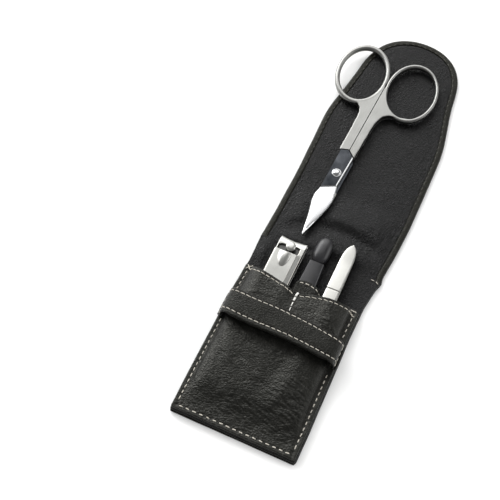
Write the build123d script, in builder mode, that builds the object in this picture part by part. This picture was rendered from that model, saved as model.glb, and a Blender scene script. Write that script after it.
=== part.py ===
from build123d import *
import os
from math import sin, cos, radians, hypot, sqrt

# Manicure set case, lying open on its back, with its tools.
# Millimetres, +Z up. X runs across the case, Y along it from the pocket's bottom edge to the
# flap's tongue. The origin is the middle of the back panel's outer face.
# Lengths along the case are given as s, measured from the pocket's bottom edge: y = s - S0.

# ---------------------------------------------------------------- driving dimensions
case_width = 58.0
S0 = 56.0                 # bottom edge to the origin
open_length = 217.3       # bottom edge to the end of the tongue
fold_1 = 112.0            # first fold, back panel to spine
fold_2 = 123.5            # second fold, spine to flap
notch_s = 91.5            # end of the pocket's side layers
leather = 1.0             # outer leather
board = 0.4               # stiffener
lining = 0.7              # back lining
inner_t = 0.6             # inner pocket layer
front_lin_t = 0.5         # front lining
front_t = 1.1             # front leather
hem = 2.7                 # width of the turned edge
panel_t = 2.0             # thickness at the turned edge, and height of both folds
seam = 3.6                # width of the flat seam margin round the pocket
stitch_inset = 2.6
stitch_len, stitch_pitch, stitch_w = 1.9, 2.9, 0.5
strap_w = 11.3

half = case_width / 2
z_board = leather
z_back = leather + board              # 1.4
z_inner = z_back + lining             # 2.1
z_flin = z_inner + inner_t            # 2.7
z_front = z_flin + front_lin_t        # 3.2
z_seam = z_front + front_t            # 4.3

# height of the pocket front's outer face along its middle, as (s, z)
front_profile = [(0, 4.3), (3.6, 4.3), (10, 6.0), (24, 8.4), (45, 9.5), (78, 10.4)]
# its arch across the case, as (x, z)
arch = [(-25.5, 4.3), (-25.0, 6.4), (-23.3, 9.0), (-20.0, 10.9), (-16, 11.4), (16, 11.4), (20.0, 10.6), (23.0, 8.6),
        (24.8, 6.2), (25.5, 4.3)]
# edge of the pocket mouth in plan, left to right, as (x, s)
mouth = [(-29.0, 75.5), (-26.5, 75.0), (-22.0, 73.0), (-14.0, 71.8), (-8.0, 70.6), (-1.0, 68.6), (4.0, 70.3),
         (10.0, 71.4), (18.0, 72.4), (25.0, 72.9), (29.0, 73.6)]
# the inner pocket's upper face over the file, and its edge in plan
inner_profile = [(0, 2.7), (6, 2.7), (14, 4.3), (24, 5.7), (50, 7.8), (80, 8.1)]
inner_arch = [(-5.7, 2.7), (-4.9, 6.9), (-3.6, 8.6), (5.8, 8.6), (7.1, 6.9), (7.9, 2.7)]
inner_edge = [(-29.0, 70.0), (-8.0, 71.0), (-5.0, 73.2), (-2.5, 75.6), (-0.3, 76.2), (2.1, 76.1), (4.7, 75.5),
              (7.3, 74.6), (9.5, 73.4), (12.0, 72.2), (29.0, 70.0)]

# half outline of the flap, as (half width, s)
flap_outline = [(29.0, fold_2), (28.9, 140.0), (28.7, 152.0), (28.4, 162.0), (27.7, 169.0), (26.7, 175.0),
                (25.5, 182.0), (24.5, 188.5), (23.7, 194.5), (22.7, 199.5), (21.2, 203.8), (18.7, 208.3),
                (15.2, 212.2), (11.0, 215.0), (5.8, 216.8), (0.0, open_length)]


def Y(s):
    return s - S0


def offset_path(pts, d):
    """The polyline moved sideways by d, to the left of its direction, with mitred corners."""
    out = []
    n = len(pts)
    for i, (x, y) in enumerate(pts):
        a = pts[max(i - 1, 0)]
        b = pts[min(i + 1, n - 1)]
        def unit(p, q):
            l = hypot(q[0] - p[0], q[1] - p[1])
            return ((q[0] - p[0]) / l, (q[1] - p[1]) / l)
        u = unit(a, (x, y)) if i > 0 else unit((x, y), b)
        v = unit((x, y), b) if i < n - 1 else u
        nx, ny = -(u[1] + v[1]), u[0] + v[0]
        l = hypot(nx, ny)
        nx, ny = nx / l, ny / l
        k = nx * -u[1] + ny * u[0]
        out.append((x + nx * d / k, y + ny * d / k))
    return out


def interp(table, s):
    for (s0, z0), (s1, z1) in zip(table, table[1:]):
        if s <= s1:
            return z0 + (z1 - z0) * (s - s0) / (s1 - s0)
    return table[-1][1]


def xz_plane(y):
    """A section plane across the case at y, with X to the right and Z up; it looks along -Y."""
    return Plane(origin=(0, y, 0), x_dir=(1, 0, 0), z_dir=(0, -1, 0))


def save(item, name):
    item.part.label = name
    export_step(item.part, "parts/" + name + ".step")


os.makedirs("parts", exist_ok=True)

# ================================================================ back panel
with BuildPart() as back_outer:
    with BuildSketch(Plane.XY):
        with Locations((0, Y(fold_1 / 2))):
            Rectangle(case_width, fold_1)
    extrude(amount=leather)
    fillet(back_outer.edges().filter_by(Axis.Z).group_by(Axis.Y)[0], 1.4)
    # the turned edge, on both sides between the notch and the fold
    with BuildSketch(Plane.XY.offset(leather)):
        for side in (-1, 1):
            with Locations((side * (half - hem / 2), Y((notch_s + 0.2 + fold_1) / 2))):
                Rectangle(hem, fold_1 - notch_s - 0.2)
    extrude(amount=panel_t - leather)
save(back_outer, "back_outer")

with BuildPart() as back_board:
    with BuildSketch(Plane.XY.offset(z_board)):
        with Locations((0, Y((4 + fold_1 - 2) / 2))):
            Rectangle(case_width - 2 * 4.0, fold_1 - 6)
    extrude(amount=board)
    fillet(back_board.edges().filter_by(Axis.Z), 2.0)
save(back_board, "back_board")

# the lining lies on the board, and on the leather round it
with BuildPart() as back_lining:
    with BuildSketch(Plane.XY.offset(z_board)):
        with Locations((0, Y(notch_s / 2))):
            Rectangle(case_width, notch_s)
    extrude(amount=z_inner - z_board)
    fillet(back_lining.edges().filter_by(Axis.Z).group_by(Axis.Y)[0], 1.4)
    with BuildSketch(Plane.XY.offset(z_board)):
        with Locations((0, Y((4 + fold_1 - 2) / 2))):
            RectangleRounded(case_width - 2 * 4.0, fold_1 - 6, 2.0)
    extrude(amount=board, mode=Mode.SUBTRACT)
save(back_lining, "back_lining")

with BuildPart() as throat_lining:
    with BuildSketch(Plane.XY.offset(z_back)):
        with Locations((0, Y((notch_s + 0.1 + fold_1) / 2))):
            Rectangle(case_width - 2 * hem - 0.2, fold_1 - notch_s - 0.1)
    extrude(amount=0.5)
save(throat_lining, "throat_lining")


# ================================================================ pocket layers
def side_points(table, drop, top):
    """Side view of a pocket volume under a height table lowered by drop, from s=0 to top."""
    pts = [(Y(s), z - drop) for s, z in table if s < top]
    pts.append((Y(top), interp(table, top) - drop))
    return [(Y(0), -1)] + pts + [(Y(top), -1)]


def arch_points(table, edge_z, drop, inset, width):
    """Front view of a pocket volume: flat margins at edge_z, and the arch between them."""
    pts = []
    for x, z in table:
        k = 1 if x > 0 else -1
        pts.append((x - k * inset, z - drop))
    return [(-width, -1), (-width, edge_z - drop)] + pts + [(width, edge_z - drop), (width, -1)]


def plan_points(edge, lift):
    return [(-half, Y(0)), (half, Y(0))] + [(x, Y(s) + lift) for x, s in reversed(edge)]


# the volumes under the outer leather, under the front lining and under the inner pocket layer
with BuildPart() as under_leather:
    with BuildSketch(Plane.YZ.offset(-half)):
        with BuildLine():
            Polyline(*side_points(front_profile, front_t, 78), close=True)
        make_face()
    extrude(amount=case_width)
    with BuildSketch(xz_plane(Y(80))):
        with BuildLine():
            Polyline(*arch_points(arch, z_seam, front_t, front_t, half), close=True)
        make_face()
    extrude(amount=90, mode=Mode.INTERSECT)

with BuildPart() as under_lining:
    with BuildSketch(Plane.YZ.offset(-half)):
        with BuildLine():
            Polyline(*side_points(front_profile, front_t + front_lin_t, 78), close=True)
        make_face()
    extrude(amount=case_width)
    with BuildSketch(xz_plane(Y(80))):
        with BuildLine():
            Polyline(*arch_points(arch, z_seam, front_t + front_lin_t, front_t + front_lin_t, half), close=True)
        make_face()
    extrude(amount=90, mode=Mode.INTERSECT)

with BuildPart() as under_inner:
    with BuildSketch(Plane.YZ.offset(-half)):
        with BuildLine():
            Polyline(*side_points(inner_profile, inner_t, 79), close=True)
        make_face()
    extrude(amount=case_width)
    with BuildSketch(xz_plane(Y(80))):
        with BuildLine():
            Polyline(*arch_points(inner_arch, z_flin, inner_t, inner_t, half), close=True)
        make_face()
    extrude(amount=90, mode=Mode.INTERSECT)

# outer leather of the pocket front
with BuildPart() as front_leather:
    with BuildSketch(Plane.YZ.offset(-half)):
        with BuildLine():
            Polyline(*side_points(front_profile, 0, 77), close=True)
        make_face()
    extrude(amount=case_width)
    with BuildSketch(xz_plane(Y(80))):
        with BuildLine():
            Polyline(*arch_points(arch, z_seam, 0, 0, half), close=True)
        make_face()
    extrude(amount=90, mode=Mode.INTERSECT)
    add(under_leather.part, mode=Mode.SUBTRACT)
    with BuildSketch(Plane.XY.offset(-1)):
        with BuildLine():
            Polyline(*plan_points(mouth, 0), close=True)
        make_face()
    extrude(amount=20, mode=Mode.INTERSECT)
    fillet(front_leather.edges().filter_by(Axis.Z).group_by(Axis.Y)[0], 1.4)
save(front_leather, "front_leather")

with BuildPart() as front_lining:
    add(under_leather.part)
    add(under_lining.part, mode=Mode.SUBTRACT)
    with BuildSketch(Plane.XY.offset(-1)):
        with BuildLine():
            Polyline(*plan_points(mouth, -0.4), close=True)
        make_face()
    extrude(amount=20, mode=Mode.INTERSECT)
    fillet(front_lining.edges().filter_by(Axis.Z).group_by(Axis.Y)[0], 1.4)
save(front_lining, "front_lining")

# thin layer behind the front, raised over the file
with BuildPart() as inner_pocket:
    with BuildSketch(Plane.YZ.offset(-half)):
        with BuildLine():
            Polyline(*side_points(inner_profile, 0, 78), close=True)
        make_face()
    extrude(amount=case_width)
    with BuildSketch(xz_plane(Y(80))):
        with BuildLine():
            Polyline(*arch_points(inner_arch, z_flin, 0, 0, half), close=True)
        make_face()
    extrude(amount=90, mode=Mode.INTERSECT)
    add(under_inner.part, mode=Mode.SUBTRACT)
    with BuildSketch(Plane.XY.offset(-1)):
        with BuildLine():
            Polyline(*plan_points(inner_edge, 0), close=True)
        make_face()
    extrude(amount=20, mode=Mode.INTERSECT)
    fillet(inner_pocket.edges().filter_by(Axis.Z).group_by(Axis.Y)[0], 1.4)
save(inner_pocket, "inner_pocket")

# ================================================================ strap
# underside of the strap in section, from its left end to its right end
strap_line = [(-29.0, 4.3), (-28.3, 4.3), (-27.9, 6.6), (-26.9, 9.6), (-24.8, 11.7), (-20.0, 12.5), (-12.0, 12.7),
              (12.0, 12.7), (19.0, 12.5), (23.5, 11.8), (26.2, 9.8), (27.7, 6.8), (28.2, 4.3), (29.0, 4.3)]
# it leans to the right and bows towards the bottom edge between its ends, as (x, s) of its lower edge
strap_edge = [(-half, 49.0), (-25.0, 48.2), (-20.0, 47.4), (-12.0, 46.2), (-4.0, 45.4), (4.0, 44.8), (12.0, 44.5),
              (20.0, 44.6), (25.0, 44.9), (half, 45.6)]
strap_plan = [(x, Y(s)) for x, s in strap_edge] + [(x, Y(s + strap_w)) for x, s in reversed(strap_edge)]


def strap_layer(d0, d1):
    a = offset_path(strap_line, d0)
    b = offset_path(strap_line, d1)
    a[0], b[0] = (-half, a[0][1]), (-half, b[0][1])
    a[-1], b[-1] = (half, a[-1][1]), (half, b[-1][1])
    return a + b[::-1]


with BuildPart() as strap_lining:
    with BuildSketch(xz_plane(Y(65))):
        with BuildLine():
            Polyline(*strap_layer(0.0, 0.5), close=True)
        make_face()
    extrude(amount=25)
    with BuildSketch(Plane.XY):
        with BuildLine():
            Polyline(*strap_plan, close=True)
        make_face()
    extrude(amount=20, mode=Mode.INTERSECT)
save(strap_lining, "strap_lining")

with BuildPart() as strap_leather:
    with BuildSketch(xz_plane(Y(65))):
        with BuildLine():
            Polyline(*strap_layer(0.5, 1.5), close=True)
        make_face()
    extrude(amount=25)
    with BuildSketch(Plane.XY):
        with BuildLine():
            Polyline(*strap_plan, close=True)
        make_face()
    extrude(amount=20, mode=Mode.INTERSECT)
save(strap_leather, "strap_leather")

# ================================================================ thread
# stitches stand on the flat seam margin; under the strap's ends there are none
side_s = [5.4 + stitch_pitch * i for i in range(24)]
left_s = [s for s in side_s if not 46.5 < s < 62.5]
right_s = [s for s in side_s if not 43.5 < s < 59.5]
n_bottom = 17
with BuildPart() as seam_thread:
    with BuildSketch(Plane.XY.offset(z_seam)):
        with Locations(*[(-(half - stitch_inset), Y(s)) for s in left_s]):
            Rectangle(stitch_w, stitch_len)
        with Locations(*[(half - stitch_inset, Y(s)) for s in right_s]):
            Rectangle(stitch_w, stitch_len)
        with Locations(*[((i - (n_bottom - 1) / 2) * 3.1, Y(stitch_inset)) for i in range(n_bottom)]):
            Rectangle(stitch_len, stitch_w)
    extrude(amount=0.3)
save(seam_thread, "seam_thread")

# the bar tack stands on the front where it meets the inner pocket
tack_s = 66.2
with BuildPart() as bar_tack:
    with BuildSketch(Plane.YZ.offset(-1.6)):
        with BuildLine():
            z0 = interp(front_profile, tack_s - 2.2)
            z1 = interp(front_profile, tack_s + 2.2)
            Polyline((Y(tack_s - 2.2), z0), (Y(tack_s + 2.2), z1), (Y(tack_s + 1.9), z1 + 0.5),
                     (Y(tack_s - 1.9), z0 + 0.5), close=True)
        make_face()
    extrude(amount=1.3)
save(bar_tack, "bar_tack")

# ================================================================ spine, between the two folds
spine_len = fold_2 - fold_1
with BuildPart() as spine_leather:
    with BuildSketch(Plane.XY):
        with Locations((0, Y((fold_1 + fold_2) / 2))):
            Rectangle(case_width, spine_len)
    extrude(amount=leather)
    with BuildSketch(Plane.XY.offset(leather)):
        for side in (-1, 1):
            with Locations((side * (half - hem / 2), Y((fold_1 + fold_2) / 2))):
                Rectangle(hem, spine_len)
    extrude(amount=panel_t - leather)
save(spine_leather, "spine_leather")

with BuildPart() as spine_lining:
    with BuildSketch(Plane.XY.offset(z_back)):
        with Locations((0, Y((fold_1 + fold_2) / 2))):
            Rectangle(case_width - 2 * hem - 0.2, spine_len)
    extrude(amount=0.5)
save(spine_lining, "spine_lining")


# ================================================================ flap
def flap_points(inset):
    """Closed flap outline, moved inwards by inset except along the fold."""
    right = [(w, Y(s)) for w, s in flap_outline]
    full = right + [(-w, y) for w, y in reversed(right[:-1])]
    if inset == 0:
        return full
    moved = offset_path(full, inset)
    moved[0] = (moved[0][0], Y(fold_2))
    moved[-1] = (moved[-1][0], Y(fold_2))
    return moved


with BuildPart() as flap_leather:
    with BuildSketch(Plane.XY):
        with BuildLine():
            Polyline(*flap_points(0), close=True)
        make_face()
    extrude(amount=panel_t)
    with BuildSketch(Plane.XY.offset(leather)):
        with BuildLine():
            Polyline(*flap_points(hem), close=True)
        make_face()
    extrude(amount=5, mode=Mode.SUBTRACT)
save(flap_leather, "flap_leather")

with BuildPart() as flap_board:
    with BuildSketch(Plane.XY.offset(z_board)):
        with BuildLine():
            Polyline(*flap_points(3.4), close=True)
        make_face()
    extrude(amount=board)
    with BuildSketch(Plane.XY.offset(z_board)):
        with Locations((0, Y(fold_2))):
            Rectangle(case_width, 6)
    extrude(amount=2, mode=Mode.SUBTRACT)
save(flap_board, "flap_board")

with BuildPart() as flap_lining:
    with BuildSketch(Plane.XY.offset(z_back)):
        with BuildLine():
            Polyline(*flap_points(hem + 0.1), close=True)
        make_face()
    extrude(amount=0.5)
save(flap_lining, "flap_lining")

# ================================================================ scissors
# Drawn in their own plane: p across, q along, from the rivet towards the rings.
sc_x, sc_s, sc_turn = -10.4, 133.4, -2.1
sc_z0 = 2.3               # underside of the lower half
sc_mid = 3.85             # the halves slide on each other here
sc_gap = 0.06
ring_c = (12.45, 54.3)
ring_in = (10.35, 14.25)
ring_out = (12.2, 16.4)
rivet_r = 1.5


def sc_plane(z):
    a = radians(sc_turn)
    return Plane(origin=(sc_x, Y(sc_s), z), x_dir=(cos(a), sin(a), 0), z_dir=(0, 0, 1))


def sc_world(p, q):
    a = radians(sc_turn)
    return (sc_x + p * cos(a) - q * sin(a), Y(sc_s) + p * sin(a) + q * cos(a))


def ring_path(side, start, stop, steps):
    """Points along the middle of a ring's bar, from one angle to another."""
    a = (ring_in[0] + ring_out[0]) / 2
    b = (ring_in[1] + ring_out[1]) / 2
    pts = []
    for i in range(steps + 1):
        t = radians(start + (stop - start) * i / steps)
        pts.append((side * (ring_c[0] - a * cos(t)), ring_c[1] + b * sin(t)))
    return pts


# ring, then the shank and its web into the ring, left of the middle line
with BuildPart() as scissor_lower:
    with BuildSketch(sc_plane(sc_z0)):
        with Locations((-ring_c[0], ring_c[1])):
            Ellipse(*ring_out)
            Ellipse(*ring_in, mode=Mode.SUBTRACT)
    extrude(amount=3.0)
    fillet(scissor_lower.edges(), 0.8)
    with BuildSketch(sc_plane(sc_z0)):
        with BuildLine():
            Polyline((-0.12, 13.4), (-4.25, 13.4), (-4.45, 32.0), (-4.8, 34.6), (-5.7, 36.8), (-7.3, 38.4),
                     *ring_path(-1, -90, -8, 8), (-0.12, 51.5), close=True)
        make_face()
    extrude(amount=3.0)
    # half-thickness neck and blade, under the other half
    with BuildSketch(sc_plane(sc_z0)):
        with BuildLine():
            Polyline((-0.12, 16.0), (-4.2, 16.0), (-4.2, 11.9), (-3.2, -9.0), (-2.6, -16.0), (-1.6, -26.0),
                     (-0.1, -34.6), (1.2, -30.0), (3.2, -23.0), (4.6, -17.5), (4.9, -13.5), (4.1, -8.0),
                     (4.2, 8.5), (2.6, 11.6), (-0.12, 12.4), close=True)
        make_face()
    extrude(amount=sc_mid - sc_gap - sc_z0)
    with Locations(sc_plane(sc_z0 - 1)):
        Cylinder(rivet_r + 0.0, 6, align=(Align.CENTER, Align.CENTER, Align.MIN), mode=Mode.SUBTRACT)
save(scissor_lower, "scissor_lower")

with BuildPart() as scissor_upper:
    with BuildSketch(sc_plane(sc_z0)):
        with Locations(ring_c):
            Ellipse(*ring_out)
            Ellipse(*ring_in, mode=Mode.SUBTRACT)
    extrude(amount=3.0)
    fillet(scissor_upper.edges(), 0.8)
    with BuildSketch(sc_plane(sc_z0)):
        with BuildLine():
            Polyline((0.12, 13.4), (3.4, 13.4), (3.9, 31.0), (4.5, 34.2), (5.5, 36.6), (7.1, 38.3),
                     *ring_path(1, -90, -8, 8), (0.12, 51.5), close=True)
        make_face()
    extrude(amount=3.0)
    # joint plate and blade, on top of the other half
    with BuildSketch(sc_plane(sc_mid)):
        with BuildLine():
            Polyline((3.4, 16.5), (0.12, 16.5), (0.12, 13.2), (-1.0, 13.05), (-3.8, 12.2), (-3.5, -9.8),
                     (-4.5, -13.6), (-4.1, -17.5), (-3.0, -21.5), (-1.7, -27.5), (-0.2, -34.8), (0.6, -31.0),
                     (2.2, -25.0), (3.6, -18.5), (3.9, -14.0), (3.5, -9.5), (3.1, -6.0), (3.3, 10.6), close=True)
        make_face()
    extrude(amount=1.45)
    with Locations(sc_plane(sc_mid - 2)):
        Cylinder(rivet_r + 0.05, 8, align=(Align.CENTER, Align.CENTER, Align.MIN), mode=Mode.SUBTRACT)
save(scissor_upper, "scissor_upper")

with BuildPart() as scissor_rivet:
    with BuildSketch(sc_plane(sc_z0)):
        Circle(rivet_r)
    extrude(amount=sc_mid + 1.5 - sc_z0)
    with BuildSketch(sc_plane(sc_mid + 1.5)):
        Circle(2.1)
    extrude(amount=0.7)
    fillet(scissor_rivet.edges().group_by(Axis.Z)[-1], 0.6)
save(scissor_rivet, "scissor_rivet")

# ================================================================ nail clipper
cl_x0, cl_w = -19.2, 12.4
cl_s0, cl_s1 = 37.0, 93.4
cl_cx = cl_x0 + cl_w / 2
pin_s, pin_r = 88.6, 1.3
rear_s = 41.5
jaw_notch_r = 30.0


with BuildPart() as clipper_lower_arm:
    with BuildSketch(Plane.YZ.offset(cl_x0)):
        with BuildLine():
            Polyline((Y(cl_s0), 3.0), (Y(90.0), 3.0), (Y(92.8), 3.6), (Y(cl_s1), 4.5), (Y(92.6), 4.7),
                     (Y(91.6), 4.15), (Y(90.6), 4.0), (Y(cl_s0), 4.0), close=True)
        make_face()
    extrude(amount=cl_w)
    with Locations(Plane.XY.offset(3.5)):
        with Locations((cl_cx, Y(cl_s1) + jaw_notch_r - 0.75)):
            Cylinder(jaw_notch_r, 6, mode=Mode.SUBTRACT)
        with Locations((cl_cx, Y(rear_s))):
            Cylinder(1.12, 6, mode=Mode.SUBTRACT)
    # the rear end narrows to a rounded tail
    fillet(clipper_lower_arm.edges().filter_by(Axis.Z).group_by(Axis.Y)[0], 2.5)
save(clipper_lower_arm, "clipper_lower_arm")

with BuildPart() as clipper_upper_arm:
    with BuildSketch(Plane.YZ.offset(cl_x0)):
        with BuildLine():
            # the underside rises from the rear rivet on, so that the jaws can close
            Polyline((Y(cl_s0), 4.08), (Y(rear_s), 4.08), (Y(46.0), 4.32), (Y(86.0), 6.2), (Y(90.0), 6.45),
                     (Y(92.5), 6.2), (Y(cl_s1), 6.3), (Y(93.1), 6.9), (Y(90.2), 7.45), (Y(85.6), 7.2),
                     (Y(46.0), 5.3), (Y(43.5), 5.08), (Y(cl_s0), 5.08), close=True)
        make_face()
    extrude(amount=cl_w)
    with Locations(Plane.XY.offset(6)):
        with Locations((cl_cx, Y(cl_s1) + jaw_notch_r - 0.75)):
            Cylinder(jaw_notch_r, 6, mode=Mode.SUBTRACT)
        with Locations((cl_cx, Y(rear_s))):
            Cylinder(1.0, 6, mode=Mode.SUBTRACT)
        with Locations((cl_cx, Y(pin_s))):
            Cylinder(pin_r + 0.5, 6, mode=Mode.SUBTRACT)
    fillet(clipper_upper_arm.edges().filter_by(Axis.Z).group_by(Axis.Y)[0], 2.5)
save(clipper_upper_arm, "clipper_upper_arm")

# shaft and cross-shaped head; its foot sits on the lower arm
with BuildPart() as clipper_pin:
    with BuildSketch(Plane.XY.offset(4.0)):
        with Locations((cl_cx, Y(pin_s))):
            Circle(pin_r)
    extrude(amount=4.6)
    with BuildSketch(Plane.XY.offset(4.0)):
        with Locations((cl_cx, Y(pin_s))):
            Circle(pin_r + 0.5)
    extrude(amount=0.6)
    with BuildSketch(Plane.XY.offset(8.1)):
        with Locations((cl_cx, Y(pin_s))):
            Circle(2.2)
    extrude(amount=1.6)
    fillet(clipper_pin.edges().group_by(Axis.Z)[-1], 0.7)
save(clipper_pin, "clipper_pin")

with BuildPart() as clipper_rear_rivet:
    with BuildSketch(Plane.XY.offset(3.0)):
        with Locations((cl_cx, Y(rear_s))):
            Circle(1.0)
    extrude(amount=2.08)
    with BuildSketch(Plane.XY.offset(5.08)):
        with Locations((cl_cx, Y(rear_s))):
            Circle(1.7)
    extrude(amount=0.35)
    fillet(clipper_rear_rivet.edges().group_by(Axis.Z)[-1], 0.3)
save(clipper_rear_rivet, "clipper_rear_rivet")

# lever plate over the upper arm, with turned-down sides and a raised thumb boss
with BuildPart() as clipper_lever:
    with BuildSketch(Plane.YZ.offset(cl_x0)):
        with BuildLine():
            Polyline((Y(43.0), 6.6), (Y(60.0), 7.3), (Y(74.0), 7.6), (Y(85.4), 8.5), (Y(85.6), 9.2),
                     (Y(85.4), 9.4), (Y(74.0), 8.4), (Y(60.0), 8.05), (Y(43.0), 7.35), close=True)
        make_face()
    extrude(amount=cl_w)
    # the turned-down sides stand just clear of the upper arm
    for x0 in (cl_x0, cl_x0 + cl_w - 1.0):
        with BuildSketch(Plane.YZ.offset(x0)):
            with BuildLine():
                Polyline((Y(78.0), 6.95), (Y(85.1), 7.35), (Y(85.4), 8.6), (Y(75.0), 7.8), close=True)
            make_face()
        extrude(amount=1.0)
    with BuildSketch(Plane.XY.offset(8.3)):
        with BuildLine():
            Polyline((cl_cx - 2.9, Y(85.2)), (cl_cx - 2.4, Y(82.0)), (cl_cx - 1.2, Y(79.0)), (cl_cx, Y(78.0)),
                     (cl_cx + 1.2, Y(79.0)), (cl_cx + 2.4, Y(82.0)), (cl_cx + 2.9, Y(85.2)), close=True)
        make_face()
    extrude(amount=1.6, taper=12, dir=(0, 0, 1))
    fillet(clipper_lever.edges().filter_by(Axis.Z).group_by(Axis.Y)[0], 2.0)
save(clipper_lever, "clipper_lever")

# ================================================================ nail file
# It leans a little to the left: t across, u along from the pocket's bottom edge.
fi_turn = 1.5
fi_x = 2.25               # where its axis meets s = 0


def fi_plane(z):
    a = radians(fi_turn)
    return Plane(origin=(fi_x, Y(0), z), x_dir=(cos(a), sin(a), 0), z_dir=(0, 0, 1))


with BuildPart() as file_handle:
    # thumb end: a rounded pad that ends in a curve above the neck
    with BuildSketch(fi_plane(2.7)):
        with BuildLine():
            Line((-3.9, 96.1), (-3.9, 90.4))
            ThreePointArc((-3.9, 90.4), (0, 86.5), (3.9, 90.4))
            Line((3.9, 90.4), (3.9, 96.1))
            ThreePointArc((3.9, 96.1), (0, 100.1), (-3.9, 96.1))
        make_face()
    extrude(amount=4.6)
    fillet(file_handle.edges().group_by(Axis.Z)[-1], 1.9)
    fillet(file_handle.edges().group_by(Axis.Z)[0], 0.9)
    # flat neck down to the blade
    with BuildSketch(fi_plane(2.75)):
        with BuildLine():
            Polyline((-4.15, 56.0), (4.15, 56.0), (4.1, 77.0), (3.55, 88.0), (-3.55, 88.0), (-4.1, 77.0), close=True)
        make_face()
    extrude(amount=3.7)
    # slot for the tang
    with BuildSketch(fi_plane(3.3)):
        with Locations((0, 56 + 5)):
            Rectangle(5.6, 10)
    extrude(amount=1.0, mode=Mode.SUBTRACT)
save(file_handle, "file_handle")

with BuildPart() as file_blade:
    with BuildSketch(fi_plane(3.3)):
        with BuildLine():
            Polyline((-2.8, 66.0), (-2.8, 30.0), (-2.2, 25.0), (-1.0, 21.5), (0, 20.5), (1.0, 21.5), (2.2, 25.0),
                     (2.8, 30.0), (2.8, 66.0), close=True)
        make_face()
    extrude(amount=1.0)
save(file_blade, "file_blade")

# ================================================================ tweezers
tw_turn = 1.2
tw_x = 13.6


def tw_plane(z):
    a = radians(tw_turn)
    return Plane(origin=(tw_x, Y(0), z), x_dir=(cos(a), sin(a), 0), z_dir=(0, 0, 1))


def tw_side():
    a = radians(tw_turn)
    return Plane(origin=(tw_x - 4 * cos(a), Y(0) - 4 * sin(a), 0), x_dir=(-sin(a), cos(a), 0),
                 z_dir=(cos(a), sin(a), 0))


tw_outline = [(0, 102.2), (-1.2, 101.4), (-2.3, 99.2), (-2.9, 96.2), (-3.05, 92.5), (-3.0, 60.0), (-2.4, 38.0),
              (-1.4, 24.0), (-1.1, 20.0), (1.1, 20.6), (1.4, 24.0), (2.4, 38.0), (3.0, 60.0), (3.05, 92.5),
              (2.9, 96.2), (2.3, 99.2), (1.2, 101.4)]

with BuildPart() as tweezer_lower_arm:
    with BuildSketch(tw_side()):
        with BuildLine():
            Polyline((18, 3.1), (24, 3.0), (60, 3.0), (80, 3.6), (92, 4.3), (103, 4.3), (103, 5.2),
                     (92, 5.2), (80, 4.5), (60, 3.9), (24, 3.9), (18, 3.9), close=True)
        make_face()
    extrude(amount=8)
    with BuildSketch(tw_plane(0)):
        with BuildLine():
            Polyline(*tw_outline, close=True)
        make_face()
    extrude(amount=20, mode=Mode.INTERSECT)
save(tweezer_lower_arm, "tweezer_lower_arm")

with BuildPart() as tweezer_upper_arm:
    with BuildSketch(tw_side()):
        with BuildLine():
            Polyline((18, 5.0), (24, 5.6), (40, 6.2), (60, 6.4), (80, 5.9), (92, 5.24), (103, 5.24), (103, 6.14),
                     (92, 6.14), (80, 6.8), (60, 7.3), (40, 7.0), (24, 6.3), (18, 5.55), close=True)
        make_face()
    extrude(amount=8)
    with BuildSketch(tw_plane(0)):
        with BuildLine():
            Polyline(*tw_outline, close=True)
        make_face()
    extrude(amount=20, mode=Mode.INTERSECT)
save(tweezer_upper_arm, "tweezer_upper_arm")

print("closed flap tip at s =", round(fold_1 - (open_length - fold_2), 2))
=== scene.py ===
import bmesh
import bpy
import numpy as np
from math import sin, cos, radians, pi, hypot, sqrt
from mathutils import Matrix, Vector, noise


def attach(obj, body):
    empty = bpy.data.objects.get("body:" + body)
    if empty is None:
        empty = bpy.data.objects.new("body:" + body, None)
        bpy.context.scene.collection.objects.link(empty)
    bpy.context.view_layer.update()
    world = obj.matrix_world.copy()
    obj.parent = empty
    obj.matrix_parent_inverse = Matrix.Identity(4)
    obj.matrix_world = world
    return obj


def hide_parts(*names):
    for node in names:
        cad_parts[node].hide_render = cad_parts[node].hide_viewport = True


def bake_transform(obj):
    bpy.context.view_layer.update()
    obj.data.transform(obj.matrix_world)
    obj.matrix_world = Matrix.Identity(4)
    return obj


# Manicure set case, lying open. Points are written in millimetres as (x, s, z): x across the case,
# s along it from the pocket's bottom edge, z up. The row's y is s - S0.
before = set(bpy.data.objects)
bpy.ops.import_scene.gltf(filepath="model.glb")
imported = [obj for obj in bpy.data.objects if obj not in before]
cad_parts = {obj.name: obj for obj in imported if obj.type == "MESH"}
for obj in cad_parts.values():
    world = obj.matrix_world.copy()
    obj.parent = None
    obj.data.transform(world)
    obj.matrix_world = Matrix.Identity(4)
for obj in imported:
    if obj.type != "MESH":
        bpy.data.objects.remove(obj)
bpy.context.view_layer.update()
scene = bpy.context.scene
MM = 0.001
S0 = 56.0
RNG = np.random.default_rng(7)


# =============================================================== mesh helpers
def curve(table, sigma=0.0):
    """A function through the table's points, rounded over sigma, straight on beyond its ends."""
    t = np.array(table, float)
    step = 0.05
    pad = 6 * sigma + 2
    g = np.arange(t[0, 0] - pad, t[-1, 0] + pad, step)
    v = np.interp(g, t[:, 0], t[:, 1])
    k0 = (t[1, 1] - t[0, 1]) / (t[1, 0] - t[0, 0])
    k1 = (t[-1, 1] - t[-2, 1]) / (t[-1, 0] - t[-2, 0])
    v = np.where(g < t[0, 0], t[0, 1] + k0 * (g - t[0, 0]), v)
    v = np.where(g > t[-1, 0], t[-1, 1] + k1 * (g - t[-1, 0]), v)
    if sigma > 0:
        n = int(4 * sigma / step)
        k = np.exp(-0.5 * (np.arange(-n, n + 1) * step / sigma) ** 2)
        k /= k.sum()
        v = np.convolve(np.pad(v, n, mode="edge"), k, mode="valid")
    return lambda x: np.interp(x, g, v)


def step01(x, a, b):
    t = np.clip((np.asarray(x, float) - a) / (b - a), 0, 1)
    return t * t * (3 - 2 * t)


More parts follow.
